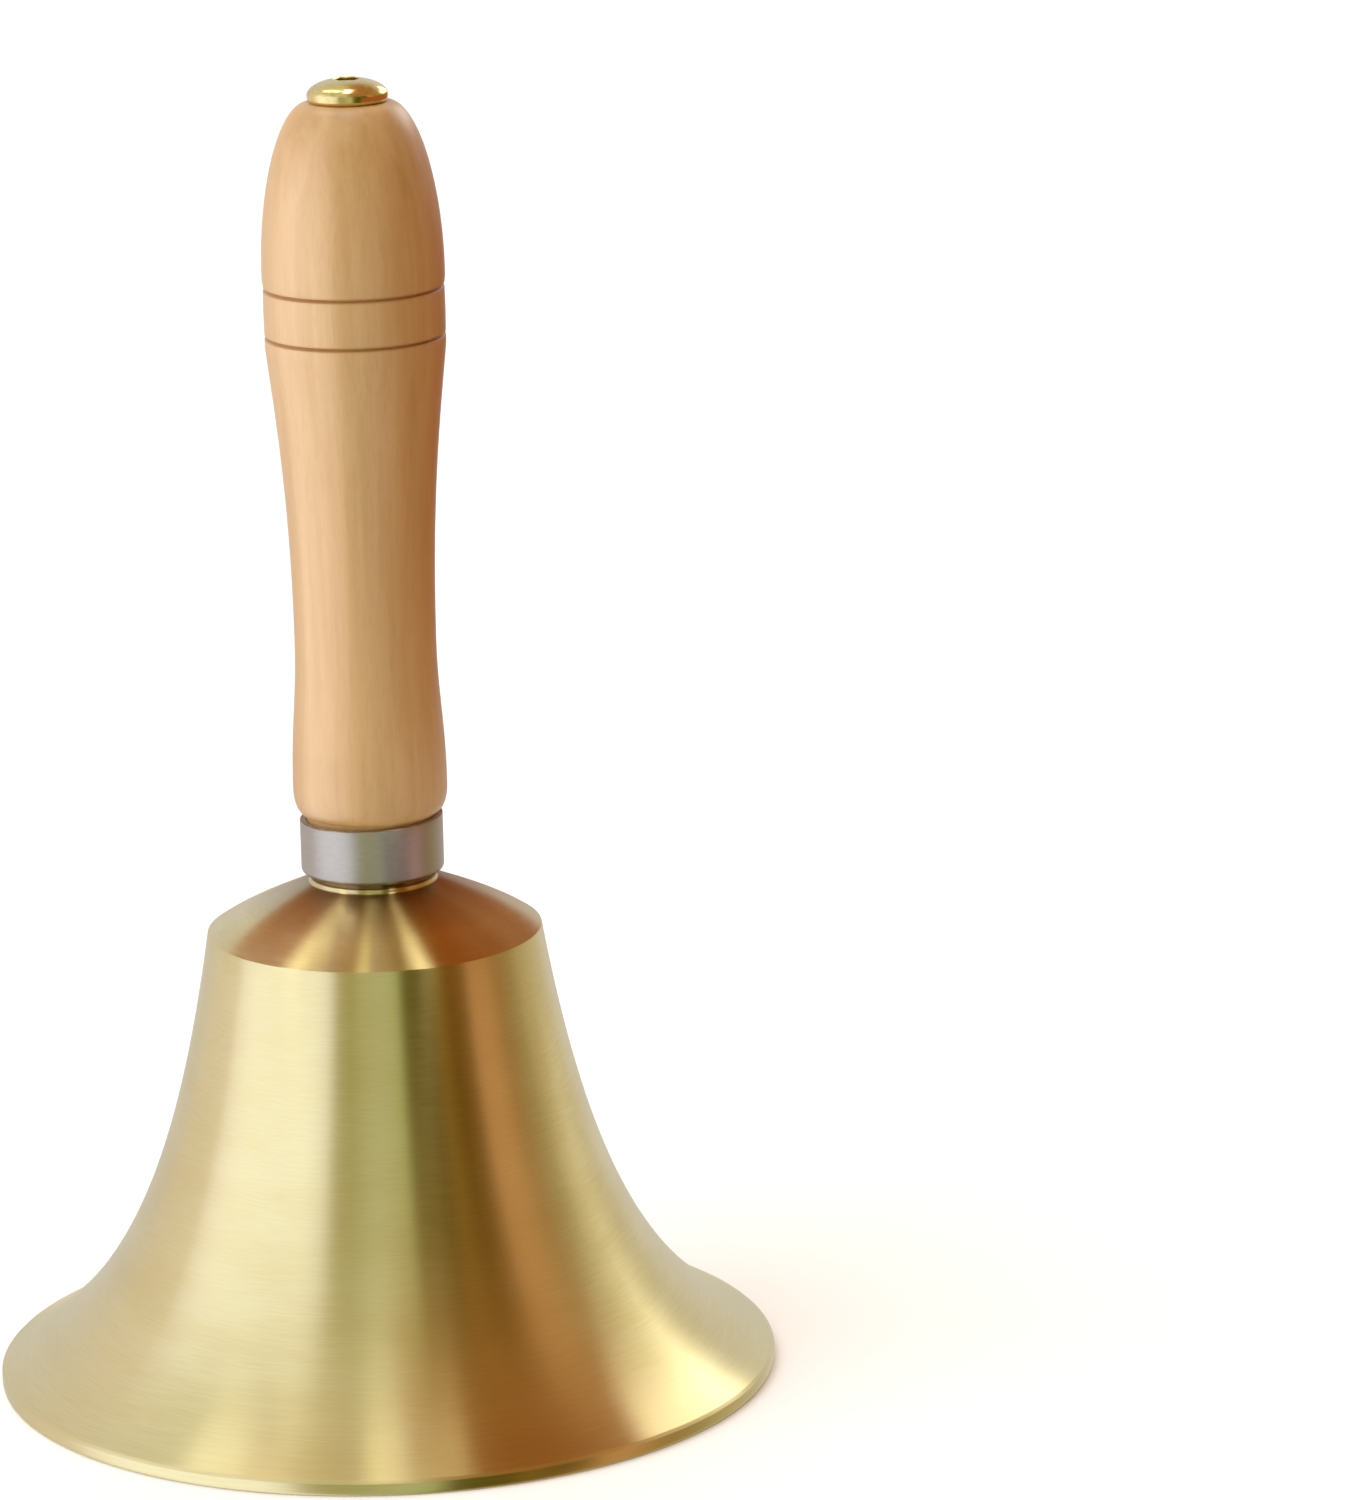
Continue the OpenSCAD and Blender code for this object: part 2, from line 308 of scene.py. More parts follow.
@dataclass(frozen=True)
class Finish:
    """A surface finish that builds its own material."""

    name: str

    def build(self) -> Material:
        """Makes the material, with this finish's nodes in it."""
        material = bpy.data.materials.new(self.name)
        tree = empty_tree(material)
        add_node(tree, "ShaderNodeOutputMaterial", {"Surface": self.shade(tree)})
        return material

    def shade(self, tree: NodeTree) -> Node:
        """Adds the finish's nodes and returns its shader node."""
        raise NotImplementedError


def turned_coordinates(tree: NodeTree, along: float, around: float, flare: float) -> Node:
    """Coordinates that run along a turned piece's outline and round its axis.

    Height minus radius grows all the way from a bell's lip to its crown, so lines cut on a lathe
    keep their spacing on the skirt and on the dome. On a ball height alone serves better.

    Args:
        tree: The material's node tree.
        along: Length of a pattern cell along the outline, in millimetres.
        around: Pattern cells in a radius of turn, so there is no seam.
        flare: Share of the radius that is taken off the height, 1 for flared pieces and 0 for a ball.

    Returns:
        The node that gives them.
    """
    place = add_node(tree, "ShaderNodeTexCoord").outputs["Object"]
    flat = add_node(tree, "ShaderNodeVectorMath", {0: place, 1: (1, 1, 0)}, operation="MULTIPLY")
    radius = add_node(tree, "ShaderNodeVectorMath", {0: flat}, operation="LENGTH")
    turn = add_node(tree, "ShaderNodeVectorMath", {0: flat}, operation="NORMALIZE")
    height = add_node(tree, "ShaderNodeSeparateXYZ", {"Vector": place}).outputs["Z"]
    run = add_node(tree, "ShaderNodeMath", {0: radius, 1: -flare, 2: height}, operation="MULTIPLY_ADD")
    steps = add_node(tree, "ShaderNodeMath", {0: run, 1: 1 / (along * MM)}, operation="MULTIPLY")
    upward = add_node(tree, "ShaderNodeCombineXYZ", {"Z": steps})
    sideways = add_node(tree, "ShaderNodeVectorMath", {0: turn, "Scale": around}, operation="SCALE")
    return add_node(tree, "ShaderNodeVectorMath", {0: sideways, 1: upward}, operation="ADD")


@dataclass(frozen=True)
class BrushedMetal(Finish):
    """Metal brushed or turned round its axis, so light smears along the outline."""

    colour: str = "#F1E6B0"
    shade_colour: str = "#EADDA2"
    roughness: float = 0.32
    roughness_spread: float = 0.03
    anisotropy: float = 1.0
    # Spacing and depth of the cut lines in millimetres: finer in truth, drawn as coarse as they show
    line_pitch: float = 0.3
    line_depth: float = 0.002
    line_around: float = 7.0
    # The slow drift of tone: its spacing in millimetres, and its cells in a radius of turn
    drift_pitch: float = 8.333
    drift_around: float = 1.6
    line_share: float = 0.6
    brushed: bool = True
    flare: float = 1.0
    # Colour of the painted shade that stands in for the ferrule's shade round the boss
    painted_shade_colour: str = "#7C5220"
    # Height and amount of painted shade, from black for bare metal to white
    painted_shade: tuple[tuple[float, str], ...] = ()

    def add_painted_shade(self, tree: NodeTree, unshaded: Node) -> Node:
        """Paints shade into the metal's colour at the given heights, where the ferrule shades the crown and
        the boss's neck.

        Args:
            tree: The material's node tree.
            unshaded: The node that gives the metal's colour before the painted shade.

        Returns:
            The node that gives the colour with its painted shade.
        """
        place = add_node(tree, "ShaderNodeTexCoord").outputs["Object"]
        height = add_node(tree, "ShaderNodeSeparateXYZ", {"Vector": place}).outputs["Z"]
        low, high = self.painted_shade[0][0], self.painted_shade[-1][0]
        share = add_node(
            tree, "ShaderNodeMapRange", {"Value": height, "From Min": low * MM, "From Max": high * MM})
        amount = add_node(tree, "ShaderNodeValToRGB", {"Fac": share})
        set_ramp(amount, [((z - low) / (high - low), level) for z, level in self.painted_shade])
        inputs = {"Factor": amount, "A": unshaded, "B": linear(self.painted_shade_colour)}
        return add_node(tree, "ShaderNodeMix", inputs, data_type="RGBA")

    def shade(self, tree: NodeTree) -> Node:
        """Adds fine cut lines, a slow drift of tone and the metal itself."""
        lines = add_node(
            tree, "ShaderNodeTexNoise",
            {"Vector": turned_coordinates(tree, self.line_pitch, self.line_around, self.flare),
             "Scale": 1.0, "Detail": 4.0, "Roughness": 0.62})
        drift = add_node(
            tree, "ShaderNodeTexNoise",
            {"Vector": turned_coordinates(tree, self.drift_pitch, self.drift_around, self.flare),
             "Scale": 1.0, "Detail": 3.0})
        mixed = add_node(
            tree, "ShaderNodeMix", {"Factor": self.line_share, "A": drift, "B": lines}, data_type="FLOAT")
        colour = add_node(tree, "ShaderNodeValToRGB", {"Fac": mixed})
        set_ramp(colour, [(0.41, self.shade_colour), (0.59, self.colour)])
        uneven = add_node(
            tree, "ShaderNodeMapRange",
            {"Value": lines, "From Min": 0.3, "From Max": 0.7,
             "To Min": self.roughness - self.roughness_spread,
             "To Max": self.roughness + self.roughness_spread})
        relief = add_node(
            tree, "ShaderNodeBump", {"Height": lines, "Strength": 1.0, "Distance": self.line_depth * MM})
        # Painted shade at set heights, for finishes that have any
        if self.painted_shade:
            colour = self.add_painted_shade(tree, colour)
        inputs = {"Base Color": colour, "Metallic": 1.0, "Roughness": uneven, "Normal": relief}
        if self.brushed:
            tangent = add_node(tree, "ShaderNodeTangent", direction_type="RADIAL", axis="Z")
            inputs |= {
                "Anisotropic": self.anisotropy, "Anisotropic Rotation": 0.25, "Tangent": tangent}
        return add_node(tree, "ShaderNodeBsdfPrincipled", inputs)


def cells(*sizes: float) -> tuple[float, ...]:
    """Pattern cells in a metre along each axis, for cells of the given sizes in millimetres."""
    return tuple(1 / (size * MM) for size in sizes)


@dataclass(frozen=True)
class LacqueredWood(Finish):
    """Close-grained pale wood turned on a lathe, its grooves burnt with a wire, under clear lacquer."""

    pale: str = "#C9A26B"
    mid: str = "#C0975D"
    dark: str = "#B48950"
    burnt: str = "#AA7842"
    # Width, depth and length of the grain, the year rings and the flecks, in millimetres
    grain: tuple[float, float, float] = (2.381, 2.381, 71.43)
    rings: tuple[float, float, float] = (6.667, 10.526, 200.0)
    rings_lean: tuple[float, float, float] = (0.05, 0.03, 0.6)
    flecks: tuple[float, float, float] = (0.3125, 0.3125, 3.03)
    fleck_amount: float = 0.25
    fleck_depth: float = 0.03
    char_amount: float = 0.75
    grooves: tuple[float, ...] = ()
    groove_half: float = 0.3

    def charred(self, tree: NodeTree, height: NodeSocket, groove: float, bare: Node) -> Node:
        """Darkens the wood in and beside one groove, where a hot wire burnt it.

        Args:
            tree: The material's node tree.
            height: Height of the point.
            groove: Height of the groove, in millimetres.
            bare: The node that gives the colour of the wood before it.

        Returns:
            The node that gives the colour with the burn.
        """
        off = add_node(tree, "ShaderNodeMath", {0: height, 1: groove * MM}, operation="SUBTRACT")
        away = add_node(tree, "ShaderNodeMath", {0: off}, operation="ABSOLUTE")
        char = add_node(
            tree, "ShaderNodeMapRange",
            {"Value": away, "From Min": 0.5 * self.groove_half * MM, "From Max": 1.7 * self.groove_half * MM,
             "To Min": self.char_amount, "To Max": 0.0},
            interpolation_type="SMOOTHSTEP")
        inputs = {"Factor": char, "A": bare, "B": linear(self.burnt)}
        return add_node(tree, "ShaderNodeMix", inputs, data_type="RGBA")

    def shade(self, tree: NodeTree) -> Node:
        """Adds long grain, short flecks, the burnt grooves and the lacquer."""
        place = add_node(tree, "ShaderNodeTexCoord").outputs["Object"]
        grain_place = add_node(tree, "ShaderNodeMapping", {"Vector": place, "Scale": cells(*self.grain)})
        grain = add_node(
            tree, "ShaderNodeTexNoise",
            {"Vector": grain_place, "Scale": 1.0, "Detail": 5.0, "Roughness": 0.6, "Distortion": 0.4})
        ring_place = add_node(
            tree, "ShaderNodeMapping",
            {"Vector": place, "Scale": cells(*self.rings), "Rotation": self.rings_lean})
        rings = add_node(
            tree, "ShaderNodeTexNoise",
            {"Vector": ring_place, "Scale": 1.0, "Detail": 3.0, "Roughness": 0.5})
        blend = add_node(tree, "ShaderNodeMix", {"Factor": 0.5, "A": grain, "B": rings}, data_type="FLOAT")
        base = add_node(tree, "ShaderNodeValToRGB", {"Fac": blend})
        set_ramp(base, [(0.34, self.dark), (0.47, self.mid), (0.6, self.pale)])
        fleck_place = add_node(tree, "ShaderNodeMapping", {"Vector": place, "Scale": cells(*self.flecks)})
        flecks = add_node(
            tree, "ShaderNodeTexNoise", {"Vector": fleck_place, "Scale": 1.0, "Detail": 2.0})
        fleck_mask = add_node(
            tree, "ShaderNodeMapRange",
            {"Value": flecks, "From Min": 0.52, "From Max": 0.68, "To Min": 0.0,
             "To Max": self.fleck_amount})
        inputs = {"Factor": fleck_mask, "A": base, "B": linear(self.dark)}
        colour = add_node(tree, "ShaderNodeMix", inputs, data_type="RGBA")
        height = add_node(tree, "ShaderNodeSeparateXYZ", {"Vector": place}).outputs["Z"]
        for groove in self.grooves:
            colour = self.charred(tree, height, groove, colour)
        relief = add_node(
            tree, "ShaderNodeBump", {"Height": flecks, "Strength": 0.7, "Distance": self.fleck_depth * MM})
        return add_node(
            tree, "ShaderNodeBsdfPrincipled",
            {"Base Color": colour, "Roughness": 0.42, "IOR": 1.5, "Coat Weight": 0.7,
             "Coat Roughness": 0.4, "Normal": relief})


@dataclass(frozen=True)
class PlatedSteel(Finish):
    """Small steel hardware, pressed or turned and then plated."""

    colour: str = "#C4C6C6"
    shade_colour: str = "#A9ABAC"
    roughness: float = 0.28
    # Clouds in a millimetre, and the depth of the faint dents
    mottle: float = 0.8
    dent_depth: float = 0.01

    def shade(self, tree: NodeTree) -> Node:
        """Adds a cloudy plated tone and faint dents."""
        place = add_node(tree, "ShaderNodeTexCoord").outputs["Object"]
        clouds = add_node(
            tree, "ShaderNodeTexNoise",
            {"Vector": place, "Scale": self.mottle / MM, "Detail": 4.0, "Roughness": 0.6})
        tone = add_node(tree, "ShaderNodeValToRGB", {"Fac": clouds})
        set_ramp(tone, [(0.35, self.shade_colour), (0.65, self.colour)])
        uneven = add_node(
            tree, "ShaderNodeMapRange",
            {"Value": clouds, "To Min": self.roughness + 0.08, "To Max": self.roughness - 0.05})
        relief = add_node(
            tree, "ShaderNodeBump", {"Height": clouds, "Strength": 0.3, "Distance": self.dent_depth * MM})
        return add_node(
            tree, "ShaderNodeBsdfPrincipled",
            {"Base Color": tone, "Metallic": 1.0, "Roughness": uneven, "Normal": relief})


# ---------------------------------------------------------------------- sub-assemblies


@dataclass
class SubAssembly:
    """Pieces of the handbell that belong together. All sizes are in millimetres."""

    pieces: list[str] = field(default_factory=list, init=False)

    def stand_for(self, node: str, work: BMesh, finish: Finish, sharp_deg: float = 40.0) -> None:
        """Makes a finished piece that stands for one CAD node and rides on its body.

        Args:
            node: Name of the CAD node.
            work: The piece's bmesh, in millimetres.
            finish: Its finish.
            sharp_deg: Edges that bend more than this stay crisp.
        """
        self.adopt(node, new_object(f"{node}_piece", work, sharp_deg), finish)

    def adopt(self, node: str, piece: Object, finish: Finish) -> None:
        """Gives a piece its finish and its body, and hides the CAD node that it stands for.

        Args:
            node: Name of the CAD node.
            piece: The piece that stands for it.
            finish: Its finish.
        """
        piece.data.materials.clear()
        piece.data.materials.append(finish.build())
        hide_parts(node)
        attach(piece, body_of(node))
        self.pieces.append(piece.name)

    def build(self) -> None:
        """Makes every piece of the sub-assembly."""
        raise NotImplementedError


def body_of(node: str) -> str:
    """The body that a CAD node belongs to."""
    bodies = frame["record"]["behaviour"]["bodies"]
    return next(body for body, members in bodies.items() if node in members)


def span(node: str) -> tuple[float, float, float]:
    """A CAD node's lowest and highest height and its largest half width in X, in millimetres."""
    low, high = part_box(node)
    return low.z / MM, high.z / MM, (high.x - low.x) / 2 / MM


@dataclass
class BellShell(SubAssembly):
    """The turned brass bell."""

    shoulder_r: float = 21.55
    shoulder_z: float = 59.2
    lip_h: float = 2.0
    lip_flat: float = 2.2
    bevel_in: float = 0.35
    bevel_drop: float = 0.4
    wall: float = 1.9
    top_angle: float = 9.2
    lip_angle: float = 26.0
    top_pull: float = 28.5
    lip_pull: float = 19.0
    boss_r: float = 8.2
    boss_foot_z: float = 65.7
    ring_h: float = 0.6
    neck_in: float = 0.4
    seat_r: float = 7.0
    bore_r: float = 2.65
    seat_z: float = 61.8
    cavity_drop: float = 3.0
    # Rounding of the shoulder, the lip's lower edge, the bevel's edges, and the boss's foot, ring and neck
    arris: float = 0.12
    lip_round: float = 0.5
    bevel_round: float = 0.08
    foot_round: float = 0.35
    ring_round: float = 0.15
    neck_round: float = 0.2
    # Bend of the crown, outside and inside: each curve's handles at the boss and at the shoulder
    crown_bend: tuple[Point, Point] = ((4.6, -1.9), (-3.3, 2.4))
    ceiling_bend: tuple[Point, Point] = ((5.0, -0.6), (-1.4, 2.2))

    def boss(self, top: float) -> Outline:
        """The boss's outline, from its bore down to its foot: a narrow neck on a wider ring."""
        neck, ring, foot = self.neck_round, self.ring_round, self.foot_round
        neck_r, ring_top = self.boss_r - self.neck_in, self.boss_foot_z + self.ring_h
        return (
            [(self.bore_r, top)]
            + arc((neck_r - neck, top - neck), neck, 90, 0)
            + [(neck_r, ring_top + 0.05)]
            + arc((self.boss_r - ring, ring_top - ring), ring, 90, 0, 4)
            + arc((self.boss_r + foot, self.boss_foot_z + foot - 0.12), foot, 180, 248)
        )

    def lip_band(self, mouth_r: float) -> Outline:
        """The lip's outline, from the end of the skirt over the bevel to the flat underneath."""
        slope = math.degrees(math.atan2(self.bevel_in, self.bevel_drop))
        soft, edge = self.bevel_round, self.lip_round
        return (
            arc((mouth_r - self.bevel_in - 0.06, self.lip_h - 0.09), soft, 66, slope, 3)
            + arc((mouth_r - soft, self.lip_h - self.bevel_drop - 0.02), soft, slope, 0, 3)
            + arc((mouth_r - edge, edge), edge, 0, -90, 6)
            + [(mouth_r - self.lip_flat + 0.25, 0.0), (mouth_r - self.lip_flat - 0.05, 0.12)]
        )

    def outline(self) -> Outline:
        """The bell's closed outline, down the outside and up the inside."""
        _, boss_top, mouth_r = span("bell_shell")
        top, low = math.radians(self.top_angle), math.radians(self.lip_angle)
        leave = (self.top_pull * math.sin(top), -self.top_pull * math.cos(top))
        arrive = (-self.lip_pull * math.cos(low), self.lip_pull * math.sin(low))
        shoulder = (self.shoulder_r, self.shoulder_z)
        skirt = bezier(shoulder, leave, arrive, (mouth_r - self.bevel_in, self.lip_h), 120)
        cavity_top = (self.shoulder_r - self.wall, self.shoulder_z - self.cavity_drop)
        inner_leave = (leave[0], leave[1] + self.cavity_drop)
        cavity = bezier(cavity_top, inner_leave, arrive, (mouth_r - self.lip_flat, 0.0), 100)
        crown = bezier((self.boss_r, self.boss_foot_z), *self.crown_bend, shoulder, 40)
        ceiling = bezier((self.seat_r, self.seat_z), *self.ceiling_bend, cavity_top, 24)
        boss = self.boss(boss_top)
        return (
            boss
            + [p for p in crown if p[0] > boss[-1][0] + 0.05][:-1]
            + arc((self.shoulder_r - self.arris, self.shoulder_z - 0.04), self.arris, 58, 8, 4)
            + skirt[1:-1]
            + self.lip_band(mouth_r)
            + list(reversed([p for p in cavity if p[1] > 0.2]))
            + list(reversed(ceiling[:-1]))
            + [(self.bore_r, self.seat_z)]
        )

    def build(self) -> None:
        """Makes the shell in satin brass, which smears each light into an upright stripe."""
        self.stand_for("bell_shell", revolved(self.outline(), segments=288), SATIN_BRASS, sharp_deg=30.0)


@dataclass
class Grip(SubAssembly):
    """The wooden handle and the steel ferrule round its foot."""

    heel_r: float = 9.9
    heel_z: float = 78.2
    waist_r: float = 9.05
    waist_low_z: float = 97.0
    waist_high_z: float = 98.0
    band_r: float = 11.45
    grooves: tuple[float, float] = (136.85, 143.0)
    groove_depth: float = 0.35
    groove_side: float = 0.32
    flat_r: float = 5.15
    bore_r: float = 2.8
    ferrule_wall: float = 0.8
    ferrule_round: float = 0.6
    ferrule_dip: float = 0.24
    ferrule_edge: float = 0.14
    tenon_gap: float = 0.05
    crest_rise: float = 1.6
    groove_round: float = 0.14

    def groove(self, z: float) -> Outline:
        """One turned groove, from its lower edge to its upper edge."""
        r, floor, soft = self.band_r, self.band_r - self.groove_depth, self.groove_round
        return (
            arc((r - soft, z - self.groove_side), soft, 0, 60, 3)
            + [(floor + 0.08, z - 0.1), (floor, z), (floor + 0.08, z + 0.1)]
            + arc((r - soft, z + self.groove_side), soft, -60, 0, 3)
        )

    def handle_outline(self) -> Outline:
        """The handle's closed outline, up the outside and down the bore."""
        bottom, top, crest_r = span("handle")
        _, ferrule_top, ferrule_r = span("ferrule")
        low, high = self.grooves
        tenon = ferrule_r - self.ferrule_wall - self.tenon_gap
        heel, crest = (self.heel_r, self.heel_z), (crest_r, high + self.crest_rise)
        foot, edge = (tenon + 0.2, ferrule_top + 0.35), (self.band_r, high + 0.5)
        return (
            [(self.bore_r, bottom), (tenon - 0.4, bottom), (tenon, bottom + 0.4), (tenon, ferrule_top - 0.1)]
            + bezier(foot, (0.7, 0.05), (0, ferrule_top + 1.6 - self.heel_z), heel, 16)
            + bezier(heel, (0, 8), (0, -7), (self.waist_r, self.waist_low_z), 24)[1:]
            + bezier((self.waist_r, self.waist_high_z), (0, 18.6), (-0.83, -8), (self.band_r, low - 1.3), 40)
            + self.groove(low)
            + [(self.band_r + 0.04, (low + high) / 2)]
            + self.groove(high)
            + bezier(edge, (crest_r - 0.05 - self.band_r, 0.2), (0, -0.6), crest, 6)[1:]
            + bezier(crest, (0, 11.9), (3.4, 0), (self.flat_r, top), 48)[1:]
            + [(self.bore_r, top)]
        )

    def ferrule_outline(self, angle: float) -> Outline:
        """The ferrule's outline at an angle: its rolled upper edge rises and falls a little."""
        bottom, top, r = span("ferrule")
        rim = top - self.ferrule_dip * (1 - math.cos(angle + 0.3))
        wall, bend, edge = self.ferrule_wall, self.ferrule_round, self.ferrule_edge
        return (
            [(self.bore_r, bottom)]
            + arc((r - bend, bottom + bend), bend, -90, 0, 8)
            + [(r, bottom + 2.5), (r, rim - 1.5)]
            + arc((r - edge, rim - edge), edge, 0, 90, 4)
            + arc((r - wall + edge, rim - edge), edge, 90, 180, 4)
            + [(r - wall, bottom + wall), (self.bore_r, bottom + wall)]
        )

    def build(self) -> None:
        """Makes the handle in lacquered pale wood and the ferrule in satin steel."""
        wood = LacqueredWood("lacquered_beech", grooves=self.grooves)
        self.stand_for("handle", revolved(self.handle_outline(), segments=192), wood, sharp_deg=50.0)
        self.stand_for("ferrule", revolved(self.ferrule_outline, segments=160), SATIN_STEEL)


@dataclass
class HexNut:
    """A hexagon nut with chamfered corners and a cut thread."""

    flats: float
    bore_r: float
    pitch: float
    mouth: float = 0.35
    face_share: float = 0.96

    def outline_for(self, node: str) -> Callable[[float], Outline]:
        """The outline of the nut that stands for a CAD node, as a function of angle.

        Args:
            node: Name of the CAD node.

        Returns:
            A function from angle to closed outline.
        """
        bottom, top, _ = span(node)
        height = top - bottom
        inscribed = self.flats / 2 * self.face_share
        slope = math.tan(math.radians(30))
        count = THREAD_STEPS * max(2, round(height / self.pitch))
        step = (height - 2 * self.mouth) / count

        def outline(angle: float) -> Outline:
            """The nut's outline at one angle."""
            reach = hexagon_radius(self.flats, angle) - 0.04
            drop = max(0.0, reach - inscribed) * slope
            heights = (bottom + height - self.mouth - step * i for i in range(count + 1))
            thread = [(thread_radius(self.bore_r, self.pitch, z, angle), z) for z in heights]
            return [
                (self.bore_r + 0.25, bottom), (inscribed, bottom), (reach, bottom + drop),
                (reach, top - drop), (inscribed, top), (self.bore_r + 0.25, top), *thread]

        return outline


@dataclass
class TieRod(SubAssembly):
    """The long bolt, with the washers and nuts that clamp the bell and hold the stirrup."""

    thread_r: float = 2.5
    pitch: float = 0.8
    thread_top: float = 64.0
    head_h: float = 3.1
    foot_r: float = 4.65
    edge_z: float = 1.0
    socket_flats: float = 3.0
    socket_depth: float = 1.9
    socket_ledge_r: float = 1.95
    slit_deg: float = 14.0
    slit_rise: float = 0.12
    hole_gap: float = 0.15
    tip_taper: float = 0.5
    nut_flats: float = 8.0

    def bolt_outline(self, angle: float) -> Outline:
        """The bolt's outline at an angle: thread below, shank, domed head and its socket."""
        end, top, head_r = span("tie_bolt")
        seat = top - self.head_h
        socket = hexagon_radius(self.socket_flats, angle)
        length = self.thread_top - end
        count = round(length / self.pitch * THREAD_STEPS)
        thread = [
            (thread_radius(self.thread_r, self.pitch, z, angle) - max(0.0, self.tip_taper - (z - end)), z)
            for z in (end + length * i / count for i in range(count + 1))
        ]
        rim = (head_r, seat + self.edge_z)
        edge = bezier((self.foot_r, seat + 0.08), (head_r - 0.1 - self.foot_r, 0.07), (0, -0.4), rim, 8)
        dome = bezier(rim, (0, 1.1), (3.0, 0), (0.0, top), 24)[1:]
        return (
            [(0.0, end), (0.6, end)]
            + thread
            + [(self.thread_r, self.thread_top + 0.3), (self.thread_r, seat), (self.foot_r, seat)]
            + edge
            + [p for p in dome if p[0] > self.socket_ledge_r]
            + [(socket + 0.12, top - 0.11), (socket, top - 0.24), (socket, top - self.socket_depth),
               (0.0, top - self.socket_depth - 0.4)]
        )

    def washer_outline(self, node: str, hole_r: float, edge: float = 0.12) -> Outline:
        """A flat washer's outline with softened edges.

        Args:
            node: Name of the CAD node that it stands for.
            hole_r: Radius of its hole.
            edge: Rounding of its rim.

        Returns:
            The closed outline.
        """
        bottom, top, r = span(node)
        return (
            [(hole_r, bottom + edge / 2), (hole_r + edge / 2, bottom)]
            + arc((r - edge, bottom + edge), edge, -90, 0, 3)
            + arc((r - edge, top - edge), edge, 0, 90, 3)
            + [(hole_r + edge / 2, top), (hole_r, top - edge / 2)]
        )

    def spring_outline(self, angle: float) -> Outline:
        """The split washer's outline, which climbs a little from one end to the other."""
        bottom, top, r = span("spring_washer")
        inner = self.thread_r + self.hole_gap
        lift = self.slit_rise * (angle / FULL_TURN - 0.5) + self.slit_rise / 2
        low, high = bottom + lift, top - self.slit_rise + lift
        return [(inner, low), (r, low), (r, high), (inner, high)]

    def build(self) -> None:
        """Makes the bolt in brass and its hardware in plated steel."""
        self.stand_for("tie_bolt", revolved(self.bolt_outline, segments=96), POLISHED_BRASS, sharp_deg=35.0)
        for node in ("crown_washer", "swivel_washer"):
            outline = self.washer_outline(node, self.thread_r + self.hole_gap)
            self.stand_for(node, revolved(outline, segments=96), ZINC_STEEL)
        ring = revolved(self.spring_outline, segments=96, gap_deg=self.slit_deg)
        self.stand_for("spring_washer", ring, SPRING_STEEL)
        nut = HexNut(self.nut_flats, self.thread_r, self.pitch)
        for node in ("clamp_nut", "lock_nut"):
            self.stand_for(node, revolved(nut.outline_for(node), segments=96), ZINC_STEEL, sharp_deg=25.0)


